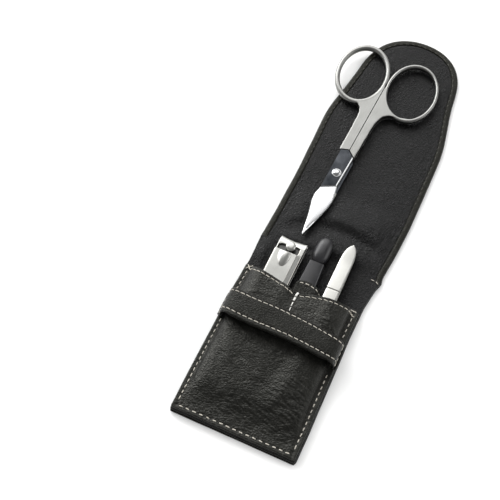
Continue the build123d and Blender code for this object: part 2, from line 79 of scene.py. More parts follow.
def bump(x, c, w):
    return np.exp(-0.5 * ((np.asarray(x, float) - c) / w) ** 2)


def grain(x, s, size, seed, stretch=(1.0, 1.0)):
    """Smooth noise from -1 to 1 with features of about size mm."""
    x = np.asarray(x, float)
    s = np.asarray(s, float)
    x, s = np.broadcast_arrays(x, s)
    out = np.empty(x.size)
    a = 1 / (size * stretch[0])
    b = 1 / (size * stretch[1])
    for i, (p, q) in enumerate(zip(x.ravel(), s.ravel())):
        out[i] = noise.noise(Vector((p * a + seed * 3.17, q * b - seed * 1.71, seed * 0.77)))
    return out.reshape(x.shape)


def make(name, pts, faces, mat, body=None, angle=45, slot=None, replaces=(), closed=True):
    pts = np.asarray(pts, float).reshape(-1, 3)
    if mat in SOFT:
        pts = settle(pts)
    me = bpy.data.meshes.new(name)
    bm = bmesh.new()
    lay = bm.verts.layers.float_vector.new("rest")
    vs = []
    for p in pts:
        v = bm.verts.new((p[0] * MM, (p[1] - S0) * MM, p[2] * MM))
        v[lay] = p
        vs.append(v)
    for f in faces:
        f = [k for i, k in enumerate(f) if k != f[i - 1]]
        if len(f) > 2:
            try:
                bm.faces.new([vs[k] for k in f])
            except ValueError:
                pass
    bmesh.ops.remove_doubles(bm, verts=bm.verts, dist=2e-6)
    if closed:
        bmesh.ops.recalc_face_normals(bm, faces=bm.faces)
    bm.to_mesh(me)
    bm.free()
    for p in me.polygons:
        p.use_smooth = True
    me.set_sharp_from_angle(angle=radians(angle))
    ob = bpy.data.objects.new(name, me)
    scene.collection.objects.link(ob)
    me.materials.append(mat)
    if body:
        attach(ob, body)
    if replaces:
        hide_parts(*replaces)
    return ob


SOFT = []
# how far the sewn leather lies outside its nominal right and left edge, along its length
right_edge = curve([(-2, 0.3), (6, 0.1), (11, 0), (16, -0.1), (21, -0.3), (26, -0.55), (31, -0.7), (36, -0.93), (41.5, -1.1), (46.6, -1.3),
                    (52, -1.5), (57, -1.75), (62, -2.0), (78, -2.05), (82, -1.6), (86, -1.1), (88.8, -0.6), (90.8, 0.2), (92.0, 0.4), (93.3, -0.15),
                    (96, -0.22), (99.6, 0.0), (105, 0.43), (110.5, 0.66), (116, 0.78), (122, 0.8), (127, 0.6), (133, 0.3), (139, 0.22),
                    (150, 0.1), (168, 0.15), (180, -0.1), (185.5, -0.3), (191.5, -0.4), (197.6, -0.1), (203.7, 0.35), (212, 0.5),
                    (220, 0.5)], 0.5)
left_edge = curve([(-2, 0.5), (20, 0.64), (30, 0.55), (46, 0.5), (52, 0.58), (62, 0.45), (67.5, 0.1), (73, 0), (78.4, -0.45), (84, -0.25),
                   (89.5, 0.05), (92, 0.05), (95, -0.2), (100.7, -0.35), (106, -0.6), (124, -0.64), (129, -0.5), (135, -0.27), (141, 0),
                   (147, 0.12), (153, 0.38), (159, 0.72), (165, 0.85), (171, 0.62), (178, 0.25), (190, 0), (203, 0.2), (212, 0.4),
                   (220, 0.4)], 1.2)


def settle(p):
    """Points of the leather and thread moved to where the sewn, used case lies."""
    p = np.array(p, float)
    x, s, z = p.T
    k = step01(np.abs(x), 8, 24) * (1 - 0.4 * step01(z, 5, 9.5))
    p[:, 0] = x + k * np.where(x > 0, right_edge(s), -left_edge(s))
    p[:, 1] = s + 0.6 * step01(s, 198, 212) - (0.72 + 0.011 * x) * (1 - step01(s, 0, 7))
    return p


class Lot:
    """Points and faces gathered from several parts of one piece."""

    def __init__(self):
        self.p, self.f, self.n = [], [], 0

    def add(self, pts, faces):
        pts = np.asarray(pts, float).reshape(-1, 3)
        self.p.append(pts)
        self.f += [tuple(k + self.n for k in f) for f in faces]
        self.n += len(pts)
        return self

    @property
    def pts(self):
        return np.vstack(self.p)


def tube(loops, closed=False, caps=True):
    """Closed loops of equal length, joined along their list."""
    m, n = len(loops), len(loops[0])
    pts = np.vstack([np.asarray(l, float) for l in loops])
    faces = []
    for i in range(m if closed else m - 1):
        a, b = i * n, ((i + 1) % m) * n
        for j in range(n):
            k = (j + 1) % n
            faces.append((a + j, a + k, b + k, b + j))
    if caps and not closed:
        faces.append(tuple(range(n))[::-1])
        faces.append(tuple(range((m - 1) * n, m * n)))
    return pts, faces


def thick(P, th, rim=0.6, steps=5):
    """A closed sheet under the grid of points P[row, column], th thick, with rounded edges."""
    P = np.asarray(P, float)
    m, n, _ = P.shape
    N = np.cross(np.gradient(P, axis=1), np.gradient(P, axis=0))
    N /= np.linalg.norm(N, axis=2, keepdims=True)
    t = th if np.ndim(th) == 0 else np.asarray(th)[..., None]
    B = P - N * t
    idx = np.arange(m * n).reshape(m, n)
    loop = list(idx[0, :]) + list(idx[1:, -1]) + list(idx[-1, -2::-1]) + list(idx[-2:0:-1, 0])
    Pf, Bf, Nf = P.reshape(-1, 3), B.reshape(-1, 3), N.reshape(-1, 3)
    T, Bt, Nn = Pf[loop], Bf[loop], Nf[loop]
    tang = np.roll((T + Bt) / 2, -1, 0) - np.roll((T + Bt) / 2, 1, 0)
    o = np.cross(tang, Nn)
    o /= np.linalg.norm(o, axis=1, keepdims=True)
    half = np.linalg.norm(T - Bt, axis=1, keepdims=True) / 2
    pts = [Pf, Bf]
    rings = []
    off = 2 * m * n
    for k in range(1, steps):
        a = pi * k / steps
        pts.append((T + Bt) / 2 + Nn * half * cos(a) + o * half * rim * sin(a))
        rings.append(list(range(off, off + len(loop))))
        off += len(loop)
    faces = []
    for i in range(m - 1):
        for j in range(n - 1):
            q = (idx[i, j], idx[i, j + 1], idx[i + 1, j + 1], idx[i + 1, j])
            faces.append(tuple(int(v) for v in q))
            faces.append(tuple(int(v) + m * n for v in q[::-1]))
    chain = [[int(v) for v in loop]] + rings + [[int(v) + m * n for v in loop]]
    L = len(loop)
    for a, b in zip(chain, chain[1:]):
        for j in range(L):
            k = (j + 1) % L
            faces.append((a[k], a[j], b[j], b[k]))
    return np.vstack(pts), faces


def plate(outline, z0, z1, bevel, steps=3):
    """A flat plate of that outline, (x, s) anticlockwise, with rounded upper and lower edges."""
    o = np.asarray(outline, float)
    nxt, prv = np.roll(o, -1, 0), np.roll(o, 1, 0)
    d1 = o - prv
    d2 = nxt - o
    d1 /= np.linalg.norm(d1, axis=1, keepdims=True)
    d2 /= np.linalg.norm(d2, axis=1, keepdims=True)
    nrm = np.stack([-(d1[:, 1] + d2[:, 1]), d1[:, 0] + d2[:, 0]], 1)
    l = np.linalg.norm(nrm, axis=1, keepdims=True)
    nrm /= l
    k = np.clip(nrm[:, :1] * -d1[:, 1:] + nrm[:, 1:] * d1[:, :1], 0.5, 1)
    loops = []
    for i in range(steps + 1):
        a = pi / 2 * i / steps
        q = o + nrm / k * bevel * (1 - sin(a))
        loops.append(np.column_stack([q, np.full(len(o), z0 + bevel * (1 - cos(a)))]))
    for i in range(steps + 1):
        a = pi / 2 * (1 - i / steps)
        q = o + nrm / k * bevel * (1 - sin(a))
        loops.append(np.column_stack([q, np.full(len(o), z1 - bevel * (1 - cos(a)))]))
    return tube(loops)


def along(P, spacing=0.3):
    """The open line of points P at even steps, and the length along it."""
    P = np.asarray(P, float)
    d = np.r_[0, np.cumsum(np.linalg.norm(np.diff(P, axis=0), axis=1))]
    n = max(2, int(d[-1] / spacing) + 1)
    g = np.linspace(0, d[-1], n)
    return np.stack([np.interp(g, d, P[:, i]) for i in range(P.shape[1])], 1), g


def stitches(lot, P, N, pitch=2.9, length=1.95, width=0.44, first=0.8, last=0.8, lift=0.13, jitter=1.0,
             skip=None):
    """Thread segments on the line P, whose surface normals are N: each rises from one hole and goes down the next."""
    P = np.asarray(P, float)
    N = np.asarray(N, float)
    N = N / np.linalg.norm(N, axis=1, keepdims=True)
    d = np.r_[0, np.cumsum(np.linalg.norm(np.diff(P, axis=0), axis=1))]
    room = d[-1] - first - last
    n = max(1, int(round(room / pitch)))
    at = [first + (i + 0.5) * room / n for i in range(n)]
    for c in at:
        if skip and skip(np.array([np.interp(c, d, P[:, k]) for k in range(3)])):
            continue
        L = length * (1 + 0.06 * jitter * RNG.standard_normal())
        yaw = 0.07 * jitter * RNG.standard_normal() + 0.05
        w = width * (1 + 0.06 * jitter * RNG.standard_normal())
        loops = []
        for t in np.linspace(-1, 1, 9):
            g = np.clip(c + t * L / 2, 0, d[-1])
            p = np.array([np.interp(g, d, P[:, k]) for k in range(3)])
            q = np.array([np.interp(min(g + 0.2, d[-1]), d, P[:, k]) for k in range(3)])
            q0 = np.array([np.interp(max(g - 0.2, 0), d, P[:, k]) for k in range(3)])
            tan = q - q0
            tan /= np.linalg.norm(tan)
            nn = np.array([np.interp(g, d, N[:, k]) for k in range(3)])
            nn /= np.linalg.norm(nn)
            side = np.cross(tan, nn)
            side /= np.linalg.norm(side)
            h = lift * (1 - abs(t) ** 3) - 0.42 * abs(t) ** 6
            r = w / 2 * (1 - 0.25 * abs(t) ** 4)
            mid = p + nn * h + side * yaw * t * L / 2
            loops.append([mid + side * r * cos(a) + nn * r * 0.75 * sin(a)
                          for a in np.linspace(0, 2 * pi, 8, endpoint=False)])
        lot.add(*tube(loops))


# =============================================================== materials
def new_mat(name):
    m = bpy.data.materials.new(name)
    m.use_nodes = True
    nt = m.node_tree
    nt.nodes.clear()
    out = nt.nodes.new("ShaderNodeOutputMaterial")
    sh = nt.nodes.new("ShaderNodeBsdfPrincipled")
    nt.links.new(sh.outputs["BSDF"], out.inputs["Surface"])
    return m, nt, sh


def coords(nt, rest=True, scale=(1, 1, 1)):
    """Rest position in millimetres: leather pieces keep it as an attribute, so the grain stays put when they bend."""
    if rest:
        a = nt.nodes.new("ShaderNodeAttribute")
        a.attribute_name = "rest"
        src = a.outputs["Vector"]
    else:
        t = nt.nodes.new("ShaderNodeTexCoord")
        m = nt.nodes.new("ShaderNodeMapping")
        m.inputs["Scale"].default_value = (1000, 1000, 1000)
        nt.links.new(t.outputs["Object"], m.inputs["Vector"])
        src = m.outputs["Vector"]
    if scale != (1, 1, 1):
        m2 = nt.nodes.new("ShaderNodeMapping")
        m2.inputs["Scale"].default_value = scale
        nt.links.new(src, m2.inputs["Vector"])
        src = m2.outputs["Vector"]
    return src


def noise_tex(nt, vec, scale, detail=3.0, rough=0.5, distortion=0.0):
    n = nt.nodes.new("ShaderNodeTexNoise")
    n.inputs["Scale"].default_value = scale
    n.inputs["Detail"].default_value = detail
    n.inputs["Roughness"].default_value = rough
    n.inputs["Distortion"].default_value = distortion
    nt.links.new(vec, n.inputs["Vector"])
    return n


def ramp(nt, fac, stops):
    r = nt.nodes.new("ShaderNodeValToRGB")
    el = r.color_ramp.elements
    while len(el) < len(stops):
        el.new(0.5)
    for e, (pos, col) in zip(el, stops):
        e.position = pos
        e.color = (*col, 1) if len(col) == 3 else col
    nt.links.new(fac, r.inputs["Fac"])
    return r.outputs["Color"]


def math(nt, op, a, b=None, clamp=False):
    m = nt.nodes.new("ShaderNodeMath")
    m.operation = op
    m.use_clamp = clamp
    for i, v in enumerate((a, b)):
        if v is None:
            continue
        if isinstance(v, (int, float)):
            m.inputs[i].default_value = v
        else:
            nt.links.new(v, m.inputs[i])
    return m.outputs["Value"]


def leather(name, dark, light, cell, depth, rough=(0.42, 0.6), spec=0.5, fine=0.25, wrinkle=0.3, stretch=(1, 1, 1),
            tint=(1.0, 1.0, 1.0)):
    """Pebbled leather: domed cells with soft borders, broken up, with fine pores and broad tone changes; its colour is
    darker at the cell borders, painted shade in the grain's creases.
    """
    m, nt, sh = new_mat(name)
    v = coords(nt, True, stretch)
    warp = noise_tex(nt, v, 0.3 / cell, 2.0)
    mix = nt.nodes.new("ShaderNodeVectorMath")
    mix.operation = "MULTIPLY_ADD"
    nt.links.new(warp.outputs["Color"], mix.inputs[0])
    mix.inputs[1].default_value = (cell * 2.2,) * 3
    nt.links.new(v, mix.inputs[2])
    vor = nt.nodes.new("ShaderNodeTexVoronoi")
    vor.feature = "DISTANCE_TO_EDGE"
    vor.inputs["Scale"].default_value = 1 / cell
    vor.inputs["Randomness"].default_value = 0.95
    nt.links.new(mix.outputs["Vector"], vor.inputs["Vector"])
    small = nt.nodes.new("ShaderNodeTexVoronoi")
    small.feature = "DISTANCE_TO_EDGE"
    small.inputs["Scale"].default_value = 1.9 / cell
    nt.links.new(mix.outputs["Vector"], small.inputs["Vector"])
    dome = ramp(nt, vor.outputs["Distance"], [(0.0, (0, 0, 0)), (0.1, (0.42,) * 3), (0.24, (0.78,) * 3), (0.45, (1, 1, 1))])
    dome2 = ramp(nt, small.outputs["Distance"], [(0.0, (0, 0, 0)), (0.16, (0.6,) * 3), (0.45, (1, 1, 1))])
    pores = noise_tex(nt, v, 2.6 / cell, 1.0, 0.5)
    lumps = noise_tex(nt, v, 0.62 / cell, 2.0, 0.5, 0.4)
    folds = noise_tex(nt, v, 0.2 / cell, 2.0, 0.5, 0.6)
    h = math(nt, "ADD", dome, math(nt, "MULTIPLY", dome2, 0.14))
    h = math(nt, "ADD", h, math(nt, "MULTIPLY", pores.outputs["Fac"], fine))
    h = math(nt, "ADD", h, math(nt, "MULTIPLY", lumps.outputs["Fac"], 1.1))
    h = math(nt, "ADD", h, math(nt, "MULTIPLY", folds.outputs["Fac"], wrinkle * 3))
    bp = nt.nodes.new("ShaderNodeBump")
    bp.inputs["Strength"].default_value = 1.0
    bp.inputs["Distance"].default_value = depth * MM
    nt.links.new(h, bp.inputs["Height"])
    nt.links.new(bp.outputs["Normal"], sh.inputs["Normal"])
    broad = noise_tex(nt, v, 0.09, 3.0)
    # base colour: darker where the cells meet, painted shade in the creases, plus broad random tone
    tone = math(nt, "ADD", math(nt, "MULTIPLY", dome, 0.6), math(nt, "MULTIPLY", broad.outputs["Fac"], 0.45))
    nt.links.new(ramp(nt, tone, [(0.25, dark), (0.9, light)]), sh.inputs["Base Color"])
    rr = math(nt, "ADD", math(nt, "MULTIPLY", dome, rough[0] - rough[1]), rough[1])
    rr = math(nt, "ADD", rr, math(nt, "MULTIPLY", math(nt, "SUBTRACT", broad.outputs["Fac"], 0.5), 0.16))
    nt.links.new(rr, sh.inputs["Roughness"])
    sh.inputs["Specular IOR Level"].default_value = spec
    sh.inputs["Specular Tint"].default_value = (*tint, 1)
    return m


def thread_mat(name, dark, light):
    m, nt, sh = new_mat(name)
    v = coords(nt, True)
    w = nt.nodes.new("ShaderNodeTexWave")
    w.wave_type = "BANDS"
    w.bands_direction = "DIAGONAL"
    w.inputs["Scale"].default_value = 0.9
    w.inputs["Distortion"].default_value = 1.5
    w.inputs["Detail"].default_value = 2.0
    nt.links.new(v, w.inputs["Vector"])
    n = noise_tex(nt, v, 1.4, 3.0)
    t = math(nt, "ADD", math(nt, "MULTIPLY", w.outputs["Fac"], 0.5), math(nt, "MULTIPLY", n.outputs["Fac"], 0.5))
    nt.links.new(ramp(nt, t, [(0.2, dark), (0.75, light)]), sh.inputs["Base Color"])
    bp = nt.nodes.new("ShaderNodeBump")
    bp.inputs["Distance"].default_value = 0.06 * MM
    nt.links.new(t, bp.inputs["Height"])
    nt.links.new(bp.outputs["Normal"], sh.inputs["Normal"])
    sh.inputs["Roughness"].default_value = 0.62
    sh.inputs["Sheen Weight"].default_value = 0.2
    return m


def metal(name, low, high, rough, brush=(1, 1, 1), depth=0.0, grainy=1.2, rest=True, spread=0.06):
    """Bare metal with fine directional marks and slow changes in its gloss."""
    m, nt, sh = new_mat(name)
    v = coords(nt, rest)
    vb = coords(nt, rest, brush)
    slow = noise_tex(nt, v, 0.16, 3.0)
    marks = noise_tex(nt, vb, grainy, 4.0, 0.7)
    t = math(nt, "ADD", math(nt, "MULTIPLY", slow.outputs["Fac"], 0.55), math(nt, "MULTIPLY", marks.outputs["Fac"], 0.45))
    nt.links.new(ramp(nt, t, [(0.3, low), (0.7, high)]), sh.inputs["Base Color"])
    r = math(nt, "ADD", rough - spread / 2, math(nt, "MULTIPLY", t, spread), clamp=True)
    nt.links.new(r, sh.inputs["Roughness"])
    sh.inputs["Metallic"].default_value = 1.0
    if depth:
        bp = nt.nodes.new("ShaderNodeBump")
        bp.inputs["Distance"].default_value = depth * MM
        nt.links.new(marks.outputs["Fac"], bp.inputs["Height"])
        nt.links.new(bp.outputs["Normal"], sh.inputs["Normal"])
    return m


OLIVE = (1.0, 1.0, 0.92)
M_FRONT = leather("pocket_leather", (0.0008, 0.0008, 0.0006), (0.0045, 0.0045, 0.0035), 1.28, 0.125, (0.28, 0.44), 0.37,
                  fine=0.05, wrinkle=0.4, stretch=(0.88, 1.2, 1), tint=OLIVE)
M_OUTER = leather("outer_leather", (0.0008, 0.0008, 0.0006), (0.0045, 0.0045, 0.0036), 1.05, 0.10, (0.30, 0.46), 0.30,
                  fine=0.05, tint=OLIVE)
M_STRAP = leather("strap_leather", (0.001, 0.001, 0.0008), (0.005, 0.005, 0.004), 1.0, 0.12, (0.30, 0.44), 0.25,
                  fine=0.05, tint=OLIVE)
M_HEM = leather("hem_leather", (0.0012, 0.0012, 0.0008), (0.0065, 0.0063, 0.0045), 1.0, 0.12, (0.32, 0.48), 0.27,
                fine=0.05, tint=(1.0, 0.99, 0.88))
M_LINING = leather("lining_leather", (0.0008, 0.0008, 0.0008), (0.0042, 0.0042, 0.0043), 1.05, 0.10, (0.26, 0.40), 0.195,
                   fine=0.06, wrinkle=0.2, stretch=(1.25, 0.8, 1))
M_BOARD = leather("stiffener_card", (0.16, 0.13, 0.10), (0.24, 0.2, 0.16), 0.5, 0.02, (0.8, 0.9), 0.2)
M_THREAD = thread_mat("cream_thread", (0.27, 0.25, 0.21), (0.66, 0.62, 0.54))
M_UNDER = thread_mat("dark_thread", (0.010, 0.010, 0.007), (0.045, 0.042, 0.030))
M_TACK = thread_mat("white_thread", (0.55, 0.54, 0.5), (0.9, 0.89, 0.85))
M_SHANK = metal("satin_steel", (0.26, 0.26, 0.248), (0.335, 0.335, 0.322), 0.36, (1, 0.12, 1), 0.010, 2.6)
M_POLISH = metal("polished_steel", (0.50, 0.505, 0.51), (0.60, 0.605, 0.61), 0.13, (0.2, 1, 1), 0.0, 1.6, spread=0.04)
# joint plate steel: its dark blue-grey colour is a painted dark reflection
M_JOINT_PLATE_PAINTED_DARK = metal("joint_plate_steel_painted_dark_reflection", (0.015, 0.017, 0.020), (0.066, 0.070, 0.077), 0.2, (0.5, 0.25, 1), 0.006, 1.1, spread=0.1)
# steel darkened for the sunk pocket round the clipper's pin: painted shade
M_RECESS_PAINTED_SHADE = metal("recess_steel_painted_shade", (0.07, 0.07, 0.068), (0.13, 0.13, 0.125), 0.3, (1, 0.3, 1), 0.006, 2.0)
# darker, glossier steel for the clipper plates' side faces: painted shade
M_SIDE_PAINTED_SHADE = metal("clipper_side_steel_painted_shade", (0.30, 0.28, 0.26), (0.42, 0.40, 0.37), 0.12, (1, 0.2, 1), 0.004, 2.0)
M_BLADE = metal("blade_steel", (0.70, 0.705, 0.71), (0.78, 0.785, 0.79), 0.24, (1, 0.1, 1), 0.003, 2.4, spread=0.05)
M_CLIP = metal("clipper_steel", (0.50, 0.50, 0.475), (0.59, 0.59, 0.56), 0.32, (1, 0.14, 1), 0.006, 2.4)
M_TWEEZ = metal("tweezer_steel", (0.48, 0.477, 0.452), (0.56, 0.556, 0.528), 0.36, (1, 0.14, 1), 0.006, 2.4)


def file_steel():
    """Cross-cut file surface: two sets of fine diagonal grooves."""
    m, nt, sh = new_mat("file_steel")
    v = coords(nt, True)
    hs = []
    for k in (1, -1):
        mp = nt.nodes.new("ShaderNodeMapping")
        mp.inputs["Rotation"].default_value = (0, 0, k * 0.6)
        nt.links.new(v, mp.inputs["Vector"])
        w = nt.nodes.new("ShaderNodeTexWave")
        w.bands_direction = "Y"
        w.inputs["Scale"].default_value = 0.62
        w.inputs["Distortion"].default_value = 0.15
        nt.links.new(mp.outputs["Vector"], w.inputs["Vector"])
        hs.append(w.outputs["Fac"])
    h = math(nt, "MULTIPLY", hs[0], hs[1])
    bp = nt.nodes.new("ShaderNodeBump")
    bp.inputs["Distance"].default_value = 0.12 * MM
    nt.links.new(h, bp.inputs["Height"])
    nt.links.new(bp.outputs["Normal"], sh.inputs["Normal"])
    nt.links.new(ramp(nt, h, [(0.0, (0.30, 0.30, 0.30)), (0.8, (0.62, 0.62, 0.62))]), sh.inputs["Base Color"])
    sh.inputs["Metallic"].default_value = 1.0
    sh.inputs["Roughness"].default_value = 0.38
    return m


def black_plastic():
    m, nt, sh = new_mat("black_plastic")
    v = coords(nt, True)
    n = noise_tex(nt, v, 0.35, 3.0)
    f = noise_tex(nt, v, 5.0, 2.0)
    nt.links.new(ramp(nt, n.outputs["Fac"], [(0.3, (0.011, 0.011, 0.012)), (0.7, (0.016, 0.016, 0.0175))]),
                 sh.inputs["Base Color"])
    r = math(nt, "ADD", 0.27, math(nt, "MULTIPLY", n.outputs["Fac"], 0.1))
    nt.links.new(r, sh.inputs["Roughness"])
    bp = nt.nodes.new("ShaderNodeBump")
    bp.inputs["Distance"].default_value = 0.004 * MM
    nt.links.new(f.outputs["Fac"], bp.inputs["Height"])
    nt.links.new(bp.outputs["Normal"], sh.inputs["Normal"])
    sh.inputs["Specular IOR Level"].default_value = 0.5
    return m


SOFT += [M_FRONT, M_OUTER, M_STRAP, M_HEM, M_LINING, M_BOARD, M_THREAD, M_UNDER, M_TACK]
M_FILE = file_steel()
M_PLASTIC = black_plastic()

# =============================================================== the case: shapes
HALF = 29.0
FOLD_A, FOLD_B = 112.0, 123.5
CUT_A, CUT_B, CUT_C = 103.0, 117.75, 132.0      # ends of the bending strips
mouth = curve([(-29.0, 75.5), (-26.5, 75.0), (-22.0, 73.0), (-14.0, 71.8), (-8.0, 70.6), (-1.0, 68.6), (4.0, 70.3),
               (10.0, 71.4), (18.0, 72.2), (25.0, 72.7), (29.0, 73.4)], 0.9)
rise = curve([(0, 0), (5.2, 0), (9.5, 0.75), (16, 2.75), (21, 3.7), (28, 4.4), (45, 5.2), (78, 6.05), (90, 6.3)], 1.5)
inner_rise = curve([(0, 0), (6, 0), (14, 1.6), (24, 3.0), (50, 5.1), (80, 5.4)], 1.5)
inner_edge = curve([(-29.0, 70.0), (-8.0, 71.0), (-5.0, 73.2), (-2.5, 75.6), (-0.3, 76.2), (2.1, 76.1), (4.7, 75.5),
                    (7.3, 74.6), (9.5, 73.4), (12.0, 72.2), (29.0, 70.0)], 0.5)


def corner(s, r=1.4):
    """How much the width loses at the rounded corners of the bottom edge."""
    s = np.clip(np.asarray(s, float), 0, r)
    return r - np.sqrt(np.clip(r * r - (r - s) ** 2, 0, None))


def front_z(x, s):
    """Upper face of the pocket front."""
    x, s = np.broadcast_arrays(np.asarray(x, float), np.asarray(s, float))
    p = np.where(x < 0, 9.0, 9.0)
    u = np.clip(np.abs(x) / 25.4, 0, 1)
    a = np.clip(1 - u ** p, 0, 1) ** 0.8
    r = rise(s)
    z = 4.3 + r * a
    inside = step01(25.0 - np.abs(x), 0, 4)
    up = step01(s, 14, 34)
    # the clipper's edges, the tweezers and the file push the leather up, and it sags between them
    z += 0.30 * bump(x, -19.8, 1.9) * step01(s, 46, 60) * inside
    z -= 0.32 * bump(x, -13.0, 3.2) * step01(s, 48, 62)
    z += 0.18 * bump(x, -7.2, 1.6) * step01(s, 46, 60)
    z += 0.40 * bump(x, 11.8, 2.4) * step01(s, 46, 66)
    z -= 0.75 * bump(x, 19.6, 2.8) * step01(s, 50, 64) * inside
    # below the strap: a crease runs down from the left, then a hollow, a ridge over the tweezers and a slack side
    d = ((x + 17.5) * 0.83 + (s - 31.3) * 0.56)
    run = step01(s, 12, 20) * step01(48 - s, 0, 10)
    z += (0.42 * bump(d, 0.3, 1.5) - 0.55 * bump(d, -3.6, 2.3)) * run * inside
    z -= 0.50 * bump(x, 4.8 + (s - 32) * 0.12, 3.0) * step01(s, 14, 26) * step01(52 - s, 0, 12)
    z += 0.42 * bump(x, 13.0 + (s - 34) * 0.10, 2.6) * step01(s, 16, 28)
    z -= 0.30 * bump(x, 20.4, 3.0) * step01(s, 12, 26) * step01(54 - s, 0, 14) * inside
    z += 1.4 * bump(x, 19.4, 4.2) * bump(s, 62.0, 5.4) + 0.30 * bump(x, -14, 6) * bump(s, 61.5, 5.5)
    # pulled down by the tack
    z -= 0.60 * bump(x, -1.0, 3.0) * step01(s, 57, 67.5)
    # creases
    z += inside * (0.30 * grain(x, s, 12, 3) + 0.11 * grain(x, s, 4.5, 5))
    skew = s + 0.25 * x
    low_right = step01(x, 3, 12) * step01(40 - s, 0, 10) * step01(s, 3.5, 8)
    low = step01(20 - s, 0, 8) * step01(s, 4, 8) * step01(x, -16, -4)
    z += 0.34 * np.maximum(low_right, 0.8 * low) * grain(x, skew, 1.45, 9, (2.4, 0.8)) * inside
    z += 0.10 * inside * step01(s, 4, 9) * grain(x, s, 1.9, 15, (1.3, 0.9))
    left = bump(x, -21.0, 2.4) * step01(s, 16, 26) * step01(56 - s, 0, 14)
    z += 0.14 * left * grain(x, s, 2.2, 13, (0.6, 2.2))
    top_right = step01(x, 13, 17) * step01(s, 57, 62) * step01(mouth(x) - 2.2 - s, 0, 2)
    z += 0.16 * top_right * grain(x, s, 1.5, 17, (1.8, 0.8)) * inside
    # the thread pulls the margin down
    z -= 0.14 * bump(np.abs(x), 26.4, 0.55) + 0.14 * bump(s, 2.35, 0.5) * (np.abs(x) < 27)
    z -= 0.10 * bump(s, mouth(x) - 1.5, 0.5) * (np.abs(x) < 25.5)
    return z


def arch_z(x, lift=0.0):
    t = curve([(-29, 0), (-5.75, 0), (-4.95, 4.0), (-3.5, 5.85), (1.1, 6.0), (5.7, 5.85), (7.1, 4.0), (8.0, 0), (29, 0)],
              0.35)
    return t(x)


def inner_z(x, s):
    a = arch_z(x)
    return 2.7 + np.minimum(a, inner_rise(s) + 0.05 * a) + 0.05 * grain(x, s, 6, 21)


def sheet_grid(xs, s0, top, zf, rows, wobble=0.0, seed=1, skip=0.0):
    """Grid of points from s0 to the edge top(x)."""
    P = np.zeros((rows, len(xs), 3))
    t = np.linspace(0, 1, rows)[:, None]
    w = corner(s0 + t * (np.mean(top(xs)) - s0))
    x = xs[None, :] * (1 - w / HALF)
    s = s0 + t * (top(xs)[None, :] - s0) * np.ones_like(x)
    if wobble:
        side = np.sign(xs)[None, :] * (np.abs(xs)[None, :] / HALF) ** 12
        x = x + side * wobble * grain(s * 0 + np.sign(x), s, 11, seed)
        s = s + wobble * 1.5 * grain(x, s * 0 + seed, 9, seed) * (1 - t) ** 6
    P[..., 0], P[..., 1] = x, s
    P[..., 2] = zf(x, s)
    return P


def xs_fine(half_width, n=112, dense=None):
    x = np.linspace(-half_width, half_width, n)
    if dense is not None:
        x = np.sort(np.r_[x, dense])
    return x


# ---- back panel under the pocket
xs = xs_fine(HALF - 0.35, 60)
P = sheet_grid(xs, 0.35, lambda x: 91.55 + 0 * x, lambda x, s: 1.0 + 0 * x, 80, 0.08, 31)
back_outer = make("back_leather", *thick(P, 0.985, 0.7), M_OUTER, "case", 50, "case_leather")

P = sheet_grid(xs, 0.55, lambda x: 92.1 + 0 * x, lambda x, s: 2.08 + 0.04 * grain(x, s, 9, 35) - 0.09 * step01(s, 82, 90) + 0.75 * bump(x, -24.6, 2.0) * bump(s, 85.0, 4.5), 80, 0.12, 33)
back_lining = make("back_lining_sheet", *thick(P, 1.02, 0.15), M_LINING, "case", 50, "case_lining",
                   replaces=("back_lining",))

# ---- pocket layers
dense = np.r_[np.linspace(-26.2, -19, 14), np.linspace(19, 26.2, 14), np.linspace(-6.2, -3, 12), np.linspace(5, 8.4, 12)]
xs = xs_fine(HALF - 0.75, 100, dense)
P = sheet_grid(xs, 0.75, lambda x: inner_edge(x) - 0.2, inner_z, 120, 0.12, 37)
inner = make("inner_pocket_layer", *thick(P, 0.56, 0.8), M_STRAP, "case", 60, "case_leather", replaces=("inner_pocket",))

xs = xs_fine(HALF - 0.95, 118, np.r_[np.linspace(-26.2, -18, 24), np.linspace(18, 26.2, 24)])
P = sheet_grid(xs, 0.95, lambda x: mouth(x) - 0.65, lambda x, s: front_z(x, s) - 1.12, 150, 0.10, 39)
front_lining = make("front_lining_sheet", *thick(P, 0.42, 0.8), M_LINING, "case", 60, "case_lining",
                    replaces=("front_lining",))
xs = xs_fine(HALF - 0.95, 180, np.r_[np.linspace(-26.2, -20, 16), np.linspace(20, 26.2, 16)])
P = sheet_grid(xs, 1.15, lambda x: mouth(x) - 0.4, front_z, 250, 0.12, 41)
front = make("pocket_front", *thick(P, 1.05, 0.75), M_FRONT, "case", 60, "case_leather", replaces=("front_leather",))

# ---- strap
strap_path = curve([(-29.0, 46.4), (-25.0, 45.7), (-20.0, 45.2), (-12.0, 44.6), (-4.0, 44.7), (4.0, 44.6), (12.0, 44.2),
                    (20.0, 43.4), (25.0, 43.1), (29.0, 43.5)], 1.5)
strap_top = curve([(-29.0, 58.8), (-25.0, 58.4), (-20.0, 58.1), (-12.0, 57.8), (-4.0, 57.8), (4.0, 57.3), (12.0, 56.6),
                   (20.0, 55.7), (25.0, 55.1), (29.0, 55.1)], 1.5)


def strap_w(x):
    return strap_top(x) - strap_path(x)


